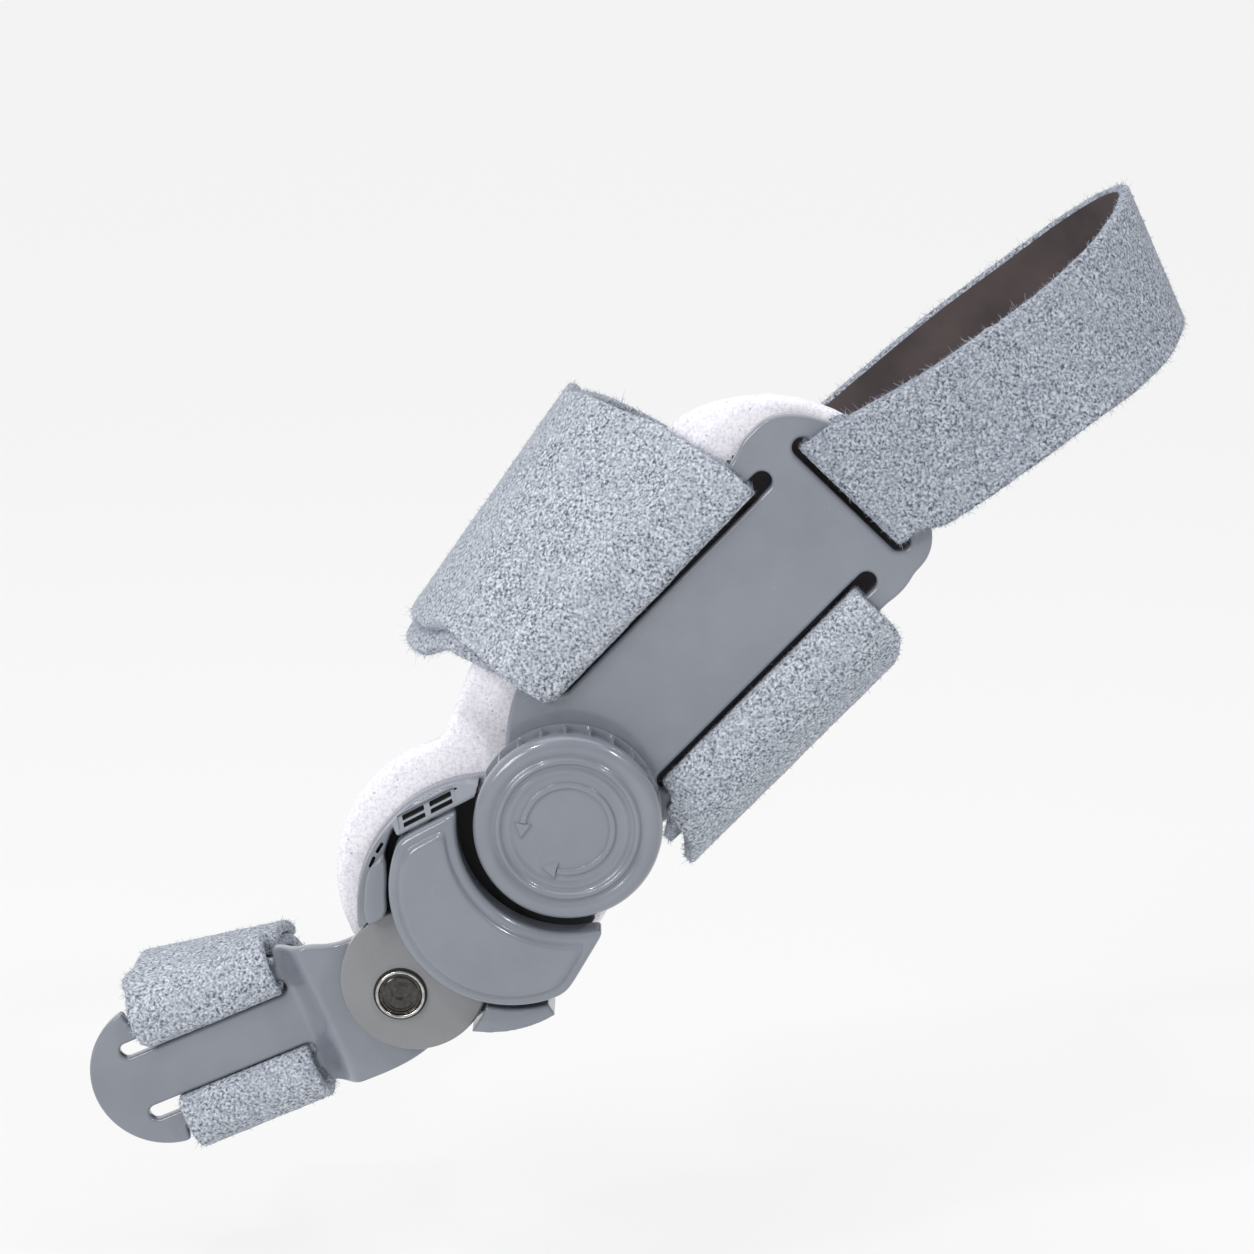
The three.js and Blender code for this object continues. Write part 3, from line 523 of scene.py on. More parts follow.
# Dial: a turned body with pockets round its grip
def dial():
    pockets, per, pocket_depth = 24, 12, 1.25
    low, top = 3.3, 14.0
    rows = [(0, low), (DIAL_RADIUS - 0.5, low)]
    rows += [(DIAL_RADIUS, low + rise) for rise in (0.5, 1.15, 1.35, 4.4, 7.5, 7.7)]
    rows.append((DIAL_RADIUS, top - 2.2))
    bevel = 2.0
    for i in range(1, 9):
        a = math.pi / 2 * i / 8
        rows.append((DIAL_RADIUS - bevel * (1 - math.cos(a)), top - 0.15 - bevel * (1 - math.sin(a))))
    face = [
        (14.6, -0.14), (14.2, -0.24), (13.8, -0.42), (13.5, -0.6), (13.3, -0.64), (13.12, -0.56),
        (12.95, -0.36), (12.8, -0.17), (12.62, -0.03), (12.42, 0.02), (12.22, -0.03), (12.04, -0.17),
        (11.9, -0.36), (11.7, -0.6), (11.5, -0.7), (11.25, -0.72), (11.05, -0.64), (10.85, -0.53),
        (10.6, -0.47), (10.35, -0.5), (10.1, -0.6), (9.85, -0.72), (9.5, -0.77), (9.0, -0.78),
        (5.0, -0.78), (0, -0.78),
    ]
    rows += [(radius, top + rise) for radius, rise in face]

    def radius_at(k, r, i):
        in_pocket = k in (4, 5, 6) and i % per >= 2
        return r - pocket_depth if in_pocket else r

    verts, faces = turned(rows, pockets * per, radius_at)
    piece("dial_knob", verts, faces, DIAL_FRAME, [moulded], "dial", ["dial"], 30)


def dial_arrow():
    radius, half, start, end = 8.0, 0.62, math.radians(-150), math.radians(126)
    base, high, steps = 13.2, 13.66, 90
    verts, faces = [], []
    profile = [(-half, base), (-half * 0.8, high - 0.1), (-half * 0.6, high), (half * 0.6, high)]
    profile += [(half * 0.8, high - 0.1), (half, base)]
    for i in range(steps + 1):
        a = start + (end - start) * i / steps
        for d, z in profile:
            verts.append(((radius + d) * math.cos(a), (radius + d) * math.sin(a), z))
    n = len(profile)
    for i in range(steps):
        for k in range(n - 1):
            a = i * n + k
            faces.append((a, a + n, a + n + 1, a + 1))
        faces.append((i * n + n - 1, i * n + n * 2 - 1, i * n + n, i * n))
    faces.append(tuple(range(n)))
    faces.append(tuple(range(steps * n + n - 1, steps * n - 1, -1)))
    for angle, turn in ((end, 1), (start, -1)):
        cx, cy = radius * math.cos(angle), radius * math.sin(angle)
        out = Vector((math.cos(angle), math.sin(angle)))
        on = Vector((-math.sin(angle), math.cos(angle))) * turn
        corners = [out * 1.75, on * 3.2, -out * 1.75]
        k = len(verts)
        for p in corners:
            verts.append((cx + p.x, cy + p.y, base))
        for p in corners:
            q = p * 0.72 + on * 0.2
            verts.append((cx + q.x, cy + q.y, high - 0.02))
        faces += [(k, k + 1, k + 2), (k + 5, k + 4, k + 3)]
        for i in range(3):
            j = (i + 1) % 3
            faces.append((k + i, k + 3 + i, k + 3 + j, k + j))
    piece("dial_arrow", verts, faces, DIAL_FRAME, [moulded], "dial", [], 40)


dial()
dial_arrow()


# Crescent cover: rings inset from one outline, which is round with straight cuts and a bite
UP_CUT, UP_TURN = 17.3, math.radians(71.7)
LOW_CUT, LOW_TURN = 18.4, math.radians(-75.9)
RIGHT_CUT = 5.9
BITE = DIAL_RADIUS + 3.0


def cover_field(p, spread=0.5):
    q = p - np.array(COVER)
    parts = [np.linalg.norm(q, axis=1) - COVER_RADIUS]
    for distance, angle in ((UP_CUT, UP_TURN), (LOW_CUT, LOW_TURN), (RIGHT_CUT, 0.0)):
        parts.append(q @ np.array([math.cos(angle), math.sin(angle)]) - distance)
    parts.append(BITE - np.linalg.norm(p - np.array(DIAL), axis=1))
    stack = np.stack(parts) / spread
    peak = stack.max(axis=0)
    return spread * (peak + np.log(np.exp(stack - peak).sum(axis=0)))


def to_level(points, level, field):
    pts = points.copy()
    step = 0.01
    for _ in range(30):
        value = field(pts) - level
        gx = (field(pts + [step, 0]) - field(pts - [step, 0])) / (2 * step)
        gy = (field(pts + [0, step]) - field(pts - [0, step])) / (2 * step)
        size = gx * gx + gy * gy + 1e-6
        move = np.clip(value / size, -0.4, 0.4)
        pts -= np.stack([gx * move, gy * move], axis=1)
    return pts


def circle(middle, radius, start, end, count):
    return [
        np.array(middle) + np.array([math.cos(a), math.sin(a)]) * radius
        for a in np.linspace(start, end, count)
    ]


def cover_outline():
    half_up = math.acos(UP_CUT / COVER_RADIUS)
    half_low = math.acos(LOW_CUT / COVER_RADIUS)
    right = COVER[0] + RIGHT_CUT

    def on_line(distance, angle, s):
        n = np.array([math.cos(angle), math.sin(angle)])
        t = np.array([-n[1], n[0]])
        return np.array(COVER) + n * distance + t * s

    def meet(distance, angle, low, high, test):
        for _ in range(50):
            middle = (low + high) / 2
            if test(on_line(distance, angle, middle)):
                low = middle
            else:
                high = middle
        return (low + high) / 2

    up_end = COVER_RADIUS * math.sin(half_up)
    up_start = meet(UP_CUT, UP_TURN, -8.0, up_end, lambda p: np.linalg.norm(p - np.array(DIAL)) < BITE)
    points = [on_line(UP_CUT, UP_TURN, s) for s in np.linspace(up_start, up_end, 20)]
    points += circle(COVER, COVER_RADIUS, UP_TURN + half_up, LOW_TURN - half_low + 2 * math.pi, 120)
    low_start = -COVER_RADIUS * math.sin(half_low)
    low_end = meet(LOW_CUT, LOW_TURN, low_start, 30.0, lambda p: p[0] < right)
    points += [on_line(LOW_CUT, LOW_TURN, s) for s in np.linspace(low_start, low_end, 30)]
    corner = on_line(LOW_CUT, LOW_TURN, low_end)
    high = DIAL[1] - math.sqrt(BITE**2 - (right - DIAL[0]) ** 2)
    points += [np.array([right, y]) for y in np.linspace(corner[1], high, 6)]
    first = math.atan2(high - DIAL[1], right - DIAL[0])
    horn = points[0]
    last = math.atan2(horn[1] - DIAL[1], horn[0] - DIAL[0])
    while last > first:
        last -= 2 * math.pi
    points += circle(DIAL, BITE, first, last, 90)
    return ccw(resample(points, 0.45))


def crescent_cover():
    levels = [
        (0.0, 6.6), (0.0, 11.0), (0.06, 11.35), (0.22, 11.7), (0.5, 11.98), (0.85, 12.12),
        (1.45, 12.2), (1.62, 12.14), (1.76, 12.14), (1.88, 12.22), (2.04, 12.42), (2.2, 12.64),
        (2.38, 12.82), (2.58, 12.94), (2.8, 13.0), (3.05, 13.02), (3.3, 13.02),
    ]
    verts, faces = [], []
    ring = cover_outline()
    n = len(ring)
    for depth, z in levels:
        ring = to_level(ring, -depth, cover_field)
        verts += [(p[0], p[1], z) for p in ring]
    last = (len(levels) - 1) * n
    for start in range(0, last, n):
        for i in range(n):
            j = (i + 1) % n
            faces.append((start + i, start + j, start + n + j, start + n + i))
    for start in (0, last):
        poly = [Vector((x, y, 0)) for x, y, _ in verts[start : start + n]]
        faces += [tuple(start + i for i in tri) for tri in tessellate_polygon([poly])]
    piece("crescent_cap", verts, faces, BRACE_FRAME, [moulded], "brace", ["crescent_cover"], 50)


crescent_cover()


# Hub disc
def hub_disc():
    tail, half, radius = 22, 10.5, 13.4
    a = math.asin(half / radius)
    path = Path(tail, -half)
    path.line(tail, half)
    path.arc(3.7, 0, radius, a, 2 * math.pi - a, 90)
    hole = Path(2.6, 0).arc(0, 0, 2.6, 0, 2 * math.pi, 32)
    verts, faces = slab(path.points, [hole.points[:-1]], 3.3, 6.3, 0.45, 0.3)
    piece("hub_plate", verts, faces, HUB_FRAME, [hub_plastic], "brace", ["hub_disc"])


hub_disc()


# Rivet: a bright rolled rim round a dark dished face
def rivet():
    head, groove, dish = 6.6, 4.25, 3.92
    rows = [
        (0, 0.6), (3.5, 0.6), (3.6, 0.7), (3.6, 1.3), (3.5, 1.4), (2.2, 1.4), (2.2, 6.2), (4.8, 6.2),
        (4.9, 6.3), (4.9, 6.38), (4.3, 6.4), (4.36, head),
    ]
    crown = [
        (4.5, 0.2), (4.5, 0.38), (4.4, 0.54), (4.22, 0.6), (4.04, 0.54), (3.92, 0.36), (3.86, 0.1),
        (3.7, -0.04), (3.4, 0.0), (3.2, 0.14), (3.04, 0.22), (2.88, 0.16), (2.7, 0.06), (2.3, 0.1),
        (1.6, 0.22), (1.1, 0.28), (0.9, 0.2), (0.7, 0.12), (0, 0.1),
    ]
    rows += [(radius, head + rise) for radius, rise in crown]
    verts, faces = turned(rows, 72)
    bright, dark, shaded = range(3)
    slots = []
    for face in faces:
        r = sum(math.hypot(verts[i][0], verts[i][1]) for i in face) / len(face)
        z = sum(verts[i][2] for i in face) / len(face)
        # The ring in the gap round the head gets painted shade
        if r > groove and 6.1 < z < 6.45:
            slots.append(shaded)
        else:
            slots.append(bright if r > dish or z < head - 0.1 else dark)
    looks = [rivet_bright, rivet_dark, painted_hollow_shade]
    piece("rivet_head", verts, faces, HUB_FRAME, looks, "brace", ["rivet_button"], 60, slots)


rivet()


# Toe arm: a slotted plate with a step
def arm_level(x):
    along = min(1.0, max(0.0, (-x - 13.8) / 7.0))
    return -ARM_STEP * (1 - math.cos(math.pi * along)) / 2


def toe_arm():
    reach, end, shoulder, root = 48.5, 14.0, 14.0, 12.6
    tip = -reach
    seat_from = -20.5
    seat_to = TOE_REAR - TOE_WIDTH - 0.6
    upper_to = seat_to - TOE_SPREAD
    bore = 3.9
    turn_from = lambda x: math.acos((x - 0.6 - tip) / end)
    path = Path(0, -root)
    path.arc(0, 0, root, -math.pi / 2, math.radians(98), 60)
    path.quad(-7, root - 1.6, -11.5, end - 0.8)
    path.quad(-15, end + 0.6, seat_from, end)
    path.line(seat_from - 0.9, TOE_SEAT)
    path.line(upper_to, TOE_SEAT)
    path.arc(tip, 0, end, turn_from(upper_to), 2 * math.pi - turn_from(seat_to), 60)
    path.line(seat_to, -TOE_SEAT)
    path.line(seat_from - 0.9, -TOE_SEAT)
    path.line(seat_from, -end + 0.4)
    path.quad(-15, -shoulder, -10, -shoulder)
    path.quad(-4, -shoulder, 0, -root)
    slots = [slot_path(-54.6, -20.9, side * TOE_SLOT, TOE_SLOT_WIDTH) for side in (-1, 1)]
    slots.append(Path(bore, 0).arc(0, 0, bore, 0, 2 * math.pi, 32).points[:-1])
    verts, faces = slab(path.points, slots, ARM_TOP - ARM_THICK, ARM_TOP, 0.6, 0.35, 0.7, 0.45)
    mesh = bpy.data.meshes.new("arm_flat")
    mesh.from_pydata(verts, [], faces)
    bm = bmesh.new()
    bm.from_mesh(mesh)
    for i in range(25):
        everything = bm.verts[:] + bm.edges[:] + bm.faces[:]
        place = (-13.0 - 8.6 * i / 24, 0, 0)
        bmesh.ops.bisect_plane(bm, geom=everything, plane_co=place, plane_no=(1, 0, 0))
    bmesh.ops.triangulate(bm, faces=[f for f in bm.faces if len(f.verts) > 4])
    verts = [(v.co.x, v.co.y, v.co.z + arm_level(v.co.x)) for v in bm.verts]
    bm.verts.index_update()
    faces = [tuple(v.index for v in f.verts) for f in bm.faces]
    bm.free()
    bpy.data.meshes.remove(mesh)
    piece("toe_splint", verts, faces, TOE_FRAME, [moulded], "toe", ["toe_arm"])


toe_arm()


# Joint housing: its solid smoothed, then cut crisply for the vents, with shade painted in the vents and on
# the floor round the cover and dial
def bars(name, rows, materials):
    """Rounded bars to cut with, each (centre, along, up, out, length, height, depth)."""
    verts, faces = [], []
    for centre, along, up, out, length, height, depth in rows:
        centre, along, up, out = (np.array(v, float) for v in (centre, along, up, out))
        r = min(0.3, height * 0.4)
        loop = []
        for sx, sy, start in ((1, 1, 0), (-1, 1, 90), (-1, -1, 180), (1, -1, 270)):
            for k in range(4):
                t = math.radians(start + 30 * k)
                x = sx * (length / 2 - r) + r * math.cos(t)
                y = sy * (height / 2 - r) + r * math.sin(t)
                loop.append(centre + along * x + up * y)
        first, n = len(verts), len(loop)
        verts += [tuple(q - out * depth) for q in loop] + [tuple(q + out * 1.5) for q in loop]
        faces += [tuple(range(first, first + n)), tuple(range(first + n, first + 2 * n))]
        faces += [(first + k, first + (k + 1) % n, first + n + (k + 1) % n, first + n + k) for k in range(n)]
    obj = shown(name, verts, faces, BRACE_FRAME, materials)
    face_outward(obj.data)
    # The cut faces take the last material, which for the vents is painted shade
    marks = [len(materials) - 1] * len(faces)
    obj.data.polygons.foreach_set("material_index", marks)
    return obj


def around(angle, radius, z):
    a = math.radians(angle)
    return (BASE[0] + radius * math.cos(a), BASE[1] + radius * math.sin(a), z)


def on_base(angle, radius, z, length, height, depth):
    a = math.radians(angle)
    out, along = (math.cos(a), math.sin(a), 0), (-math.sin(a), math.cos(a), 0)
    return (around(angle, radius, z), along, out, (0, 0, 1), length, height, depth)


def wall_bar(along, up, length, height, depth):
    foot, rise, set_in = 4.8, 5.4, 1.9
    n = np.array([math.cos(UP_TURN), math.sin(UP_TURN), 0])
    t = np.array([-n[1], n[0], 0])
    lean = math.atan2(set_in, rise)
    place = np.array([COVER[0], COVER[1], foot + rise * up]) + n * (20.2 - set_in * up) + t * along
    slope = -n * math.sin(lean) + np.array([0, 0, math.cos(lean)])
    out = n * math.cos(lean) + np.array([0, 0, math.sin(lean)])
    return (place, t, slope, out, length, height, depth)


def softened(name, node, voxel, rounds, materials, body, angle=180, cuts=()):
    """A piece made by remeshing a solid at voxel metres, smoothing it and cutting it."""
    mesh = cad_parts[node].data.copy()
    dress(mesh, materials)
    obj = bpy.data.objects.new(name, mesh)
    scene.collection.objects.link(obj)
    remesh = obj.modifiers.new("remesh", "REMESH")
    remesh.mode = "VOXEL"
    remesh.voxel_size = voxel
    smooth = obj.modifiers.new("smooth", "SMOOTH")
    smooth.factor = 0.5
    smooth.iterations = rounds
    for cut in cuts:
        step = obj.modifiers.new("cut", "BOOLEAN")
        step.operation = "DIFFERENCE"
        step.object = cut
        step.solver = "EXACT"
    deps = bpy.context.evaluated_depsgraph_get()
    made = bpy.data.meshes.new_from_object(obj.evaluated_get(deps))
    obj.modifiers.clear()
    obj.data = made
    bpy.data.meshes.remove(mesh)
    made.name = name
    for cut in cuts:
        bpy.data.objects.remove(cut)
    marks = np.zeros(len(made.polygons), dtype=np.int32)
    made.polygons.foreach_get("material_index", marks)
    dress(made, materials)
    made.polygons.foreach_set("material_index", marks)
    sharpen(made, angle)
    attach(obj, body)
    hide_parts(node)
    return obj


def joint_housing():
    recess = bars("recess", [wall_bar(7.0, 0.49, 11.6, 4.7, 0.3)], [moulded])
    slits = [wall_bar(along, up, 4.4, 1.75, 1.0) for along in (9.7, 4.2) for up in (0.27, 0.71)]
    slits += [on_base(angle, 22.8, 6.8, 2.2, 0.6, 1.4) for angle in (103, 110.5)]
    slits += [on_base(angle, 22.9, 4.8, 0.75, 1.0, 1.2) for angle in (58.5, 55.5, 52.5)]
    looks = [moulded, painted_hollow_shade]
    vents = bars("slits", slits, looks)
    top = [(around(131, 22.5, 8.1), (0.755, 0.656, 0), (-0.656, 0.755, 0), (0, 0, 1), 22, 9, 1.3)]
    cuts = [bars("lowered", top, [moulded]), recess, vents]
    obj = softened("joint_housing", "joint_base", 0.00027, 2, looks, "brace", 50, cuts)
    inverse = BRACE_FRAME.inverted()
    # Painted shade: floor faces in the gaps round the cover and dial take the dark material
    floor_top, inside = 3.4, 22
    for face in obj.data.polygons:
        p = inverse @ face.center
        from_cover, from_dial, from_base = (
            math.hypot(p.x - x, p.y - y) for x, y in (COVER, DIAL, BASE)
        )
        if p.z < floor_top and from_base < inside and (from_cover < 23.2 or from_dial < 21):
            face.material_index = looks.index(painted_hollow_shade)


def left_pad():
    corners = [
        (-69.4, 15.1), (-70.3, 13.6), (-72.6, 11.3), (-74.7, 9.5), (-76.5, 7.6), (-77.9, 7.0),
        (-79.4, 7.3), (-80.9, 7.9), (-80.7, 8.9), (-79.2, 10.7), (-77.3, 12.3), (-75.6, 13.7),
        (-73.6, 14.9), (-71.5, 15.2),
    ]
    verts, faces = slab(corners[::-1], [], 6.5, 9.0, 0.6, 0.1, 0.35, 0.45)
    piece("joint_pad", verts, faces, BRACE_FRAME, [moulded], "brace", [], 50)


joint_housing()
left_pad()


# Foam pad: its solid smoothed, with shade painted where the slots look down on it
def foam_cushion():
    pad = softened("foam_cushion", "foam_pad", 0.0009, 6, [foam, slot_shade], "brace")
    inverse = BRACE_FRAME.inverted()
    turned_out = Vector((0, -1, 0))
    for face in pad.data.polygons:
        p = inverse @ face.center
        behind_long = abs(p.x) < 31 and 9.8 < abs(p.y) < 19
        behind_rear = 31.5 < p.x < 38 and abs(p.y) < 15.5
        if face.normal.dot(turned_out) > 0.1 and (behind_long or behind_rear):
            face.material_index = 1


foam_cushion()


# Straps: rows of two edge points, run through in fine steps
def catmull(points, count):
    pts = [np.array(p, float) for p in points]
    n = len(pts)
    out = []
    for i in range(count + 1):
        p = (n - 1) * i / count
        k = int(math.floor(p))
        w = p - k
        if w == 0 and k == n - 1:
            k, w = n - 2, 1.0
        p1, p2 = pts[k], pts[k + 1]
        p0 = pts[k - 1] if k > 0 else 2 * pts[0] - pts[1]
        p3 = pts[k + 2] if k + 2 < n else 2 * pts[n - 1] - pts[n - 2]
        d0, d1, d2 = (np.linalg.norm(d) ** 0.5 for d in (p1 - p0, p2 - p1, p3 - p2))
        if d1 < 1e-4:
            d1 = 1.0
        if d0 < 1e-4:
            d0 = d1
        if d2 < 1e-4:
            d2 = d1
        t1 = (p1 - p0) / d0 - (p2 - p0) / (d0 + d1) + (p2 - p1) / d1
        t2 = (p2 - p1) / d1 - (p3 - p1) / (d1 + d2) + (p3 - p2) / d2
        t1, t2 = t1 * d1, t2 * d1
        c2 = -3 * p1 + 3 * p2 - 2 * t1 - t2
        c3 = 2 * p1 - 2 * p2 + t1 + t2
        out.append(p1 + t1 * w + c2 * w * w + c3 * w * w * w)
    return out


def stations_through(rows, per_row):
    count = (len(rows) - 1) * per_row
    return list(zip(catmull([r[0] for r in rows], count), catmull([r[1] for r in rows], count)))


def offset_stations(stations, distance):
    """Stations moved out by distance(i), for a lap over the strap."""
    count = len(stations)
    out = []
    for i, (a, b) in enumerate(stations):
        before = stations[max(0, i - 1)]
        after = stations[min(count - 1, i + 1)]
        across = b - a
        moved = []
        for k, point in ((0, a), (1, b)):
            normal = np.cross(across, after[k] - before[k])
            normal /= np.linalg.norm(normal)
            moved.append(point + normal * distance(i))
        out.append(tuple(moved))
    return out


def rim_turn(place, corner, sign, top, bottom, steps=6):
    """Stations round the edge of a slot, from above the plate to below it."""
    angles = [math.pi / 2 * i / steps for i in range(steps + 1)]
    down = [place(corner - sign * LIFT * math.sin(a), top + LIFT * math.cos(a)) for a in angles]
    under = [place(corner - sign * LIFT * math.cos(a), bottom - LIFT * math.sin(a)) for a in angles]
    return down + under


def smoothstep(x, low, high):
    t = min(1.0, max(0.0, (x - low) / (high - low)))
    return t * t * (3 - 2 * t)


def lap_offset(plate, rim_steps, ease_steps):
    wide = plate + 2 * LIFT
    return lambda i: wide + (LAP - wide) * smoothstep(i, rim_steps, rim_steps + ease_steps)


PER_ROW = 16
FINE = PER_ROW // 4
xyz = lambda x, y, z: np.array([x, y, z], float)


def unfolded(stations):
    """Stations of a lap without the short step back where it leaves the plate."""
    kept = []
    for i, (a, b) in enumerate(stations):
        if i < 2 * PER_ROW and kept and (a + b)[1] > (kept[-1][0] + kept[-1][1])[1]:
            continue
        kept.append((a, b))
    return kept


def sole_lap(stations, offset, rows):
    count = len(stations)
    moved = offset_stations(stations, lambda i: offset(count - 1 - i))
    return unfolded(moved[-rows * PER_ROW :][::-1])


# Each row is (rim, reach past it, depth, lean), as shares of those of the ring
MIDFOOT_ROWS = [
    (1, 0.89, 0.17, -0.6), (1, 1, 0.33, -0.85), (1, 0.93, 0.55, -0.9), (1, 0.6, 0.78, -0.85),
    (1, 0.1, 0.94, -0.75), (0.45, 0, 1, -0.6), (-0.1, 0, 1, -0.5), (-0.75, 0, 1, -0.45),
    (-1, -0.42, 0.94, -0.4), (-1, -0.9, 0.78, -0.4), (-1, -1, 0.52, -0.45), (-1, -0.95, 0.26, -0.5),
    (-1, -0.62, 0.09, -0.35),
]


MIDFOOT_SHIFT = 4.0
BACKING = 12.5


def strap_backing(y):
    past = max(0.0, y - PLATE_HALF) / BACKING
    return LIFT + 6.1 * past * past


def midfoot_stations():
    width, lean_length, front_fold = SLOT_LENGTH, 11.0, 1.5
    front, rear = -width / 2 - MIDFOOT_SHIFT, width / 2 - MIDFOOT_SHIFT
    gathered = -SLOT_LENGTH / 2 + 1

    def place(y, z, lean=0.0, spread=1.0):
        x = gathered + (front - gathered) * spread + lean
        return (xyz(x, y, z), xyz(rear + lean * 1.35, y, z))

    def rows_with(skew):
        rows = [place(SLOT_OUTER + RIM * s, -LIFT, 0, 0.75 + s * 0.25) for s in (0, 0.5, 1)]
        for s in (0.25, 0.5, 0.75, 1):
            y = PLATE_HALF + BACKING * s
            a, b = place(y, -strap_backing(y), -lean_length * s * 0.28)
            a[0] -= skew * s * 0.7
            rows.append((a, b))
        for rim, reach, depth, lean in MIDFOOT_ROWS:
            crest = [25.2, 25.2] if reach < 0 else [34.2, 42.5]
            ya, yb = (PLATE_HALF * rim + reach * (c - PLATE_HALF) for c in crest)
            a, b = place(ya, -LIFT - (FOOT_DEPTH - LIFT) * depth, lean_length * lean)
            a[0] -= skew if reach >= 0 else 0
            b[1] = yb
            rows.append((a, b))
        rows += [place(-SLOT_OUTER - RIM * s, -LIFT, 0, s * 0.8) for s in (1, 0.5, 0)]
        return rows

    ring = stations_through(rows_with(4.5), PER_ROW)
    straight = stations_through(rows_with(0), PER_ROW)
    rim = 2 * PER_ROW + 2 * FINE
    top = offset_stations(straight, lap_offset(PLATE_THICK, rim, 2 * PER_ROW))[: 9 * PER_ROW]
    for i, (a, _) in enumerate(top):
        a[1] -= front_fold * (1 - smoothstep(i, 0, 3 * PER_ROW))
    sole = sole_lap(straight, lap_offset(PLATE_THICK, rim, 4 * PER_ROW), 6)
    flare = lambda z: 0.75 * max(0.0, (z - PLATE_THICK) / LIFT) ** 2
    in_upper = lambda y, z: place(y, z, 0, flare(z))
    in_lower = lambda y, z: place(y, z, 0, 0)
    upper = rim_turn(in_upper, SLOT_OUTER, 1, PLATE_THICK, 0)[1:-1]
    for a, _ in upper:
        a[1] -= front_fold * smoothstep(a[2], 2.6, PLATE_THICK + LIFT)
    lower = rim_turn(in_lower, -SLOT_OUTER, -1, PLATE_THICK, 0)[1:-1][::-1]
    return [(top[::-1], 0, -1), (upper, 0, -1), (ring, -1, -1), (lower, 0, -1), (sole, 0, -1)]


# Each row is (back, depth, height, skew), as shares of the heel loop's
HEEL_ROWS = [
    (0.064, 0.023, -0.26, 0.065), (0.307, 0.075, -0.51, 0.02), (0.52, 0.133, -0.7, 0.015),
    (0.7, 0.203, -0.87, 0.07), (0.85, 0.295, -0.97, 0.12), (0.96, 0.42, -1, 0.155),
    (1, 0.55, -1, 0.17), (0.96, 0.67, -0.99, 0.155), (0.83, 0.785, -0.95, 0.12),
    (0.6, 0.885, -0.88, 0.07), (0.3, 0.96, -0.77, 0.03),
]


def heel_stations():
    half, reach, fall = 12.5, 58.2, 15.8
    top = PLATE_THICK + LIFT
    far = FOOT_DEPTH + LAP + 0.4
    place = lambda x, z: (xyz(x, half, z), xyz(x, -half, z))
    row = lambda x, y, z, skew: (xyz(x + skew / 2, y + half, z), xyz(x - skew / 2, y - half, z))
    rows = []
    for s in (0, 0.5, 1):
        bend = s * s
        rows.append(row(REAR_OUTER + REAR_RIM * s, -fall * 0.16 * bend, top, reach * 0.06 * bend))
    for back, depth, high, skew in HEEL_ROWS:
        x = PLATE_REAR + reach * back
        rows.append(row(x, fall * high, top - (far + top) * depth, reach * skew))
    rest = SLOT_LENGTH / 2 - MIDFOOT_SHIFT - 0.5
    for s in (0, 0.3, 1):
        rows.append(row(rest - s * SLOT_LENGTH * 0.66, -fall * 0.6, -far, 0))
    outer = stations_through(rows, PER_ROW)
    offset = lap_offset(PLATE_THICK, 2 * PER_ROW + FINE, 1.5 * PER_ROW)
    inner = offset_stations(outer, lambda i: -offset(i))[: 5 * PER_ROW][::-1]
    turn = rim_turn(place, REAR_OUTER, 1, PLATE_THICK, 0)[1:-1][::-1]
    return [(inner, 1, 1), (turn, 0, 1), (outer, -1, 1)]


# Each row is (height, depth, lean), as shares of the toe loop's
TOE_ROWS = [
    (0.95, 0.12, -0.6), (1, 0.34, -1), (0.9, 0.66, -0.8), (0.55, 0.92, -0.4), (0, 1, 0),
    (-0.5, 0.93, 0), (-0.8, 0.7, 0), (-0.87, 0.4, 0), (-0.84, 0.14, 0),
]


def toe_stations():
    front = TOE_REAR - TOE_WIDTH
    slot_outer = TOE_SLOT + TOE_SLOT_WIDTH / 2
    plate_top = ARM_TOP - ARM_STEP
    plate_bottom = plate_top - ARM_THICK
    back = plate_bottom - LIFT

    def place(y, z, lean=0.0):
        return (xyz(front + lean, y, z), xyz(TOE_REAR, y, z))

    def rows_with(skew, spread):
        rim = TOE_SEAT - slot_outer
        rows = [place(slot_outer + rim * s, back, -spread) for s in (0, 0.5, 1)]
        for high, depth, lean in TOE_ROWS:
            upper = high > 0
            lean = lean * skew - (spread if upper else 0)
            a, b = place((15.2 if upper else 13.4) * high, back - 30 * depth, lean)
            b[1] = (9.6 if upper else 13.4) * high
            rows.append((a, b))
        rows += [place(-slot_outer - rim * s, back) for s in (1, 0.5, 0)]
        return rows

    ring = stations_through(rows_with(3.6, 0), PER_ROW)
    straight = stations_through(rows_with(0, 0), PER_ROW)
    spread = stations_through(rows_with(-TOE_SPREAD, TOE_SPREAD), PER_ROW)
    rim = 2 * PER_ROW + FINE
    top = offset_stations(spread, lap_offset(ARM_THICK, rim, PER_ROW + FINE))[: 6 * PER_ROW]
    sole = sole_lap(straight, lap_offset(ARM_THICK, rim, 3 * PER_ROW), 4)
    flare = lambda z: -TOE_SPREAD * max(0.0, (z - plate_top) / LIFT) ** 2
    in_upper = lambda y, z: place(y, z, flare(z))
    upper = rim_turn(in_upper, slot_outer, 1, plate_top, plate_bottom, 5)[1:-1]
    lower = rim_turn(place, -slot_outer, -1, plate_top, plate_bottom, 5)[1:-1][::-1]
    return [(top[::-1], 0, -1), (upper, 0, -1), (ring, -1, -1), (lower, 0, -1), (sole, 0, -1)]


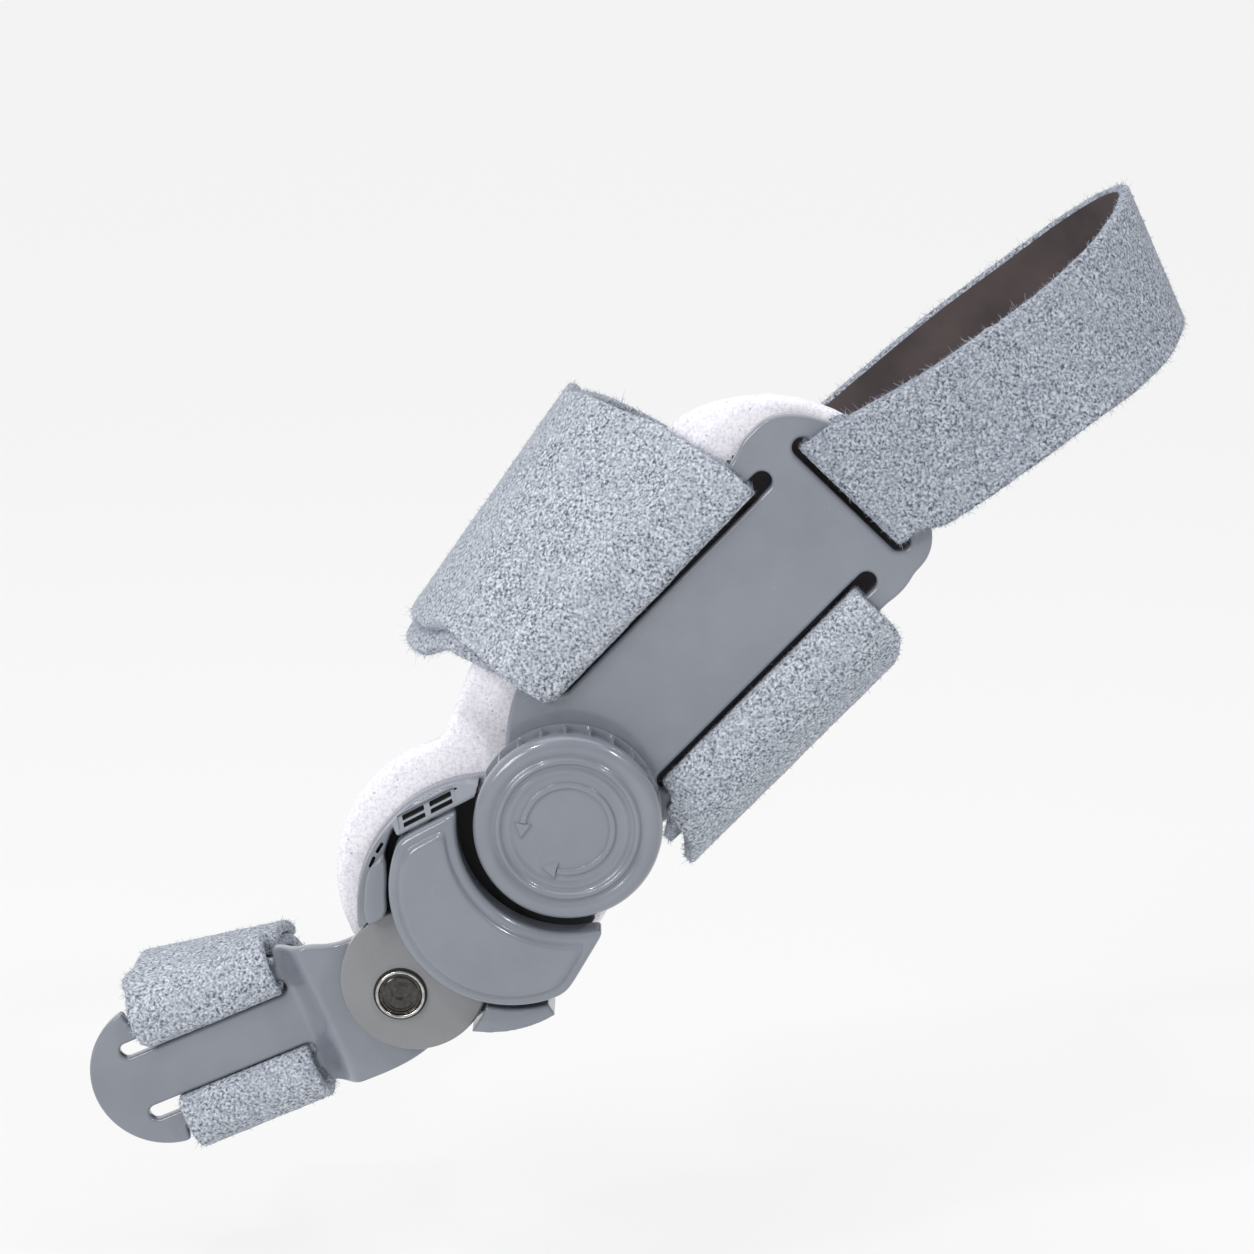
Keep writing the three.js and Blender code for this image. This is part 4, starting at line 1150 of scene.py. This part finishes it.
def strap_mesh(parts, step, across, seed):
    """A fine closed strip with rounded edges: vertices, faces, sides and samples for the fibres.

    Each part is (stations, side of the lining, outward side), with 0 for no lining."""
    stations = [s for part in parts for s in part[0]]
    marks = np.array([part[1:] for part in parts for _ in part[0]])
    a, b = (np.array([s[k] for s in stations]) for k in (0, 1))
    keep = [0]
    for i in range(1, len(a)):
        if np.linalg.norm((a[i] + b[i] - a[keep[-1]] - b[keep[-1]]) / 2) > 0.05:
            keep.append(i)
    a, b, marks = a[keep], b[keep], marks[keep]
    moves = np.diff((a + b) / 2, axis=0)
    dist = np.concatenate([[0], np.cumsum(np.linalg.norm(moves, axis=1))])
    length = dist[-1]
    count = int(length / step)
    at = np.linspace(0, length, count)
    marks = marks[np.clip(np.searchsorted(dist, at), 0, len(dist) - 1)]
    a, b = (np.stack([np.interp(at, dist, e[:, k]) for k in range(3)], axis=1) for e in (a, b))
    cross = b - a
    width = np.linalg.norm(cross, axis=1)
    cross /= width[:, None]

    def normals(edge):
        n = np.cross(cross, np.gradient(edge, axis=0))
        return n / np.linalg.norm(n, axis=1)[:, None]

    na, nb = normals(a), normals(b)
    columns = max(8, int(width.mean() / across))
    h, r = STRAP_THICK / 2, 0.75
    # Section of the strip: (kind, share of the width, extra distance out, height)
    ends, starts = [], []
    for k in range(1, 6):
        t = math.pi / 2 - math.pi * k / 6
        out = r * math.cos(t)
        z = (h - r if t > 0 else r - h) + r * math.sin(t)
        ends.append(("end", 1.0, out, z))
        starts.append(("start", 0.0, -out, -z))
    profile = [("flat", j / columns, 0.0, h) for j in range(columns + 1)] + ends
    profile += [("flat", 1 - j / columns, 0.0, -h) for j in range(columns + 1)] + starts
    n = len(profile)
    verts = np.zeros((count, n, 3))
    for k, (_, share, out, z) in enumerate(profile):
        s = (r + share * (width - 2 * r) + out) / width
        normal = na + (nb - na) * s[:, None]
        normal /= np.linalg.norm(normal, axis=1)[:, None]
        verts[:, k] = a + (b - a) * s[:, None] + normal * z
    # Gentle unevenness, more at the cut edges
    for i in range(count):
        normal = (na[i] + nb[i]) / 2
        for k, (kind, _, _, z) in enumerate(profile):
            p = verts[i, k]
            wave = noise.noise(Vector(p * 0.16) + Vector((seed, 0, 0)))
            fine = noise.noise(Vector(p * 0.95) + Vector((0, seed, 0)))
            move = normal * (wave * 0.10 + (fine if z > 0 else -fine) * 0.10)
            if kind != "flat":
                edge = noise.noise(Vector(p * 1.25) + Vector((0, 0, seed)))
                move = move + cross[i] * (edge if kind == "end" else -edge) * 0.18
            verts[i, k] = p + move
    faces, sides = [], []
    for i in range(count - 1):
        lined = marks[i][0]
        for k in range(n):
            m = (k + 1) % n
            faces.append((i * n + k, i * n + m, (i + 1) * n + m, (i + 1) * n + k))
            over = k < columns
            under = columns + 6 <= k < 2 * columns + 6
            sides.append(int((lined < 0 and under) or (lined > 0 and over)))
    faces += [tuple(range(n - 1, -1, -1)), tuple(range((count - 1) * n, count * n))]
    sides += [0, 0]
    data = (a, b, cross, na, nb, length, width.mean(), marks[:, 1])
    return verts.reshape(-1, 3), faces, sides, data


def fibres(name, data, where, body, on_face, seed):
    """Loose fibres that stand off the cut edges and the brushed face."""
    a, b, cross, na, nb, length, _, outward = data
    rng = np.random.default_rng(seed)
    on_edge = int(length * 9)
    verts, faces = [], []

    def fibre(root, direction, size, curl, wide):
        side = np.cross(direction, rng.normal(size=3))
        side /= np.linalg.norm(side) + 1e-9
        k = len(verts)
        for t in (0.0, 0.5, 1.0):
            p = root + direction * size * t + curl * size * t * t
            w = wide * (1 - 0.7 * t) / 2
            verts.extend((p - side * w, p + side * w))
        faces.extend(((k, k + 1, k + 3, k + 2), (k + 2, k + 3, k + 5, k + 4)))

    for edge, sign, normal in ((a, -1.0, na), (b, 1.0, nb)):
        for value in rng.uniform(0, len(a) - 1.001, on_edge):
            i = int(value)
            w = value - i
            p = edge[i] * (1 - w) + edge[i + 1] * w
            n = normal[i]
            out = cross[i] * sign
            t = rng.uniform(-0.5, 0.5) * STRAP_THICK * 0.9
            spread = rng.normal(size=3) * 0.5
            direction = out * rng.uniform(0.5, 1.2) + n * (t / STRAP_THICK * 1.4) + spread
            direction /= np.linalg.norm(direction)
            size = rng.uniform(0.25, 0.75) if rng.random() < 0.88 else rng.uniform(0.8, 1.5)
            curl, wide = rng.normal(size=3) * 0.45, rng.uniform(0.07, 0.14)
            fibre(p - out * 0.15 + n * t, direction, size, curl, wide)
    for value in rng.uniform(0, len(a) - 1.001, on_face):
        i = int(value)
        w = value - i
        s = rng.uniform(0.01, 0.99)
        pa = a[i] * (1 - w) + a[i + 1] * w
        pb = b[i] * (1 - w) + b[i + 1] * w
        n = (na[i] * (1 - s) + nb[i] * s) * outward[i]
        n = n / np.linalg.norm(n)
        direction = n * rng.uniform(0.25, 0.9) + rng.normal(size=3) * 0.6
        direction -= n * min(0, direction @ n)
        direction /= np.linalg.norm(direction)
        root = pa * (1 - s) + pb * s + n * (STRAP_THICK / 2 - 0.08)
        size = rng.uniform(0.25, 0.6)
        curl, wide = rng.normal(size=3) * 0.5, rng.uniform(0.08, 0.15)
        fibre(root, direction, size, curl, wide)
    obj = shown(name, verts, faces, where, [fibre_light])
    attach(obj, body)
    return obj


def strap(name, parts, node, cloth, where, body, rests_on, seed, step, across, on_face):
    verts, faces, sides, data = strap_mesh(parts, step, across, seed)
    obj = piece(name, verts, faces, where, [cloth, lining_and_shade], body, [node], 180, sides)
    fluff = fibres(name + "_fibres", data, where, body, on_face, seed)
    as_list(rests_on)


on_brace = (BRACE_FRAME, "brace", ["side_plate_shell"])
on_toe = (TOE_FRAME, "toe", ["toe_splint"])
strap("midfoot_band", midfoot_stations(), "midfoot_strap", loop_fabric, *on_brace, 3, 1.0, 0.95, 14000)
strap("heel_band", heel_stations(), "heel_strap", loop_fabric_shaded, *on_brace, 7, 1.0, 0.95, 7000)
strap("toe_band", toe_stations(), "toe_strap", loop_fabric, *on_toe, 11, 0.8, 0.8, 5000)


# Floor and light
def backdrop():
    low, edge, bend, top = cad_box[0].z - TOE_SWING, 0.9, 0.8, 3.5
    rows = [(-3.0, low)]
    for i in range(13):
        a = math.pi / 2 * i / 12
        rows.append((edge + bend * math.sin(a), low + bend * (1 - math.cos(a))))
    rows.append((edge + bend, top))
    verts = [(x, y, z) for y, z in rows for x in (-4, 4)]
    faces = [(k, k + 1, k + 3, k + 2) for k in range(0, 2 * len(rows) - 2, 2)]
    n = Nodes("pale_floor")
    n.set("Base Color", (0.19, 0.19, 0.19, 1))
    n.set("Emission Color", (1, 1, 1, 1))
    n.set("Emission Strength", 0.745)
    n.set("Roughness", 1.0)
    n.set("Specular IOR Level", 0.0)
    obj = shown("floor", verts, faces, Matrix.Identity(4), [n.material])
    for face in obj.data.polygons:
        face.use_smooth = True


def area(name, place, size, power):
    """A light of so many metres that faces the middle of the scene."""
    data = bpy.data.lights.new(name, "AREA")
    data.shape = "RECTANGLE"
    data.size, data.size_y = size
    data.energy = power
    obj = bpy.data.objects.new(name, data)
    obj.location = place
    obj.rotation_euler = (-Vector(place)).to_track_quat("-Z", "Y").to_euler()
    scene.collection.objects.link(obj)


backdrop()
world = bpy.data.worlds.new("studio")
world.use_nodes = True
world.node_tree.nodes["Background"].inputs["Color"].default_value = (1, 1, 1, 1)
world.node_tree.nodes["Background"].inputs["Strength"].default_value = 0.46
scene.world = world
area("key", (0.70, -0.62, 0.85), (0.12, 0.12), 2.9)
area("left", (-0.85, -0.80, 0.55), (0.45, 0.45), 5.5)
area("spark", (-0.55, -0.55, 0.95), (0.09, 0.09), 2.1)
area("top", (0, 0.1, 1.2), (1.2, 0.9), 5.0)
scene.view_settings.view_transform = "Standard"
scene.view_settings.look = "None"
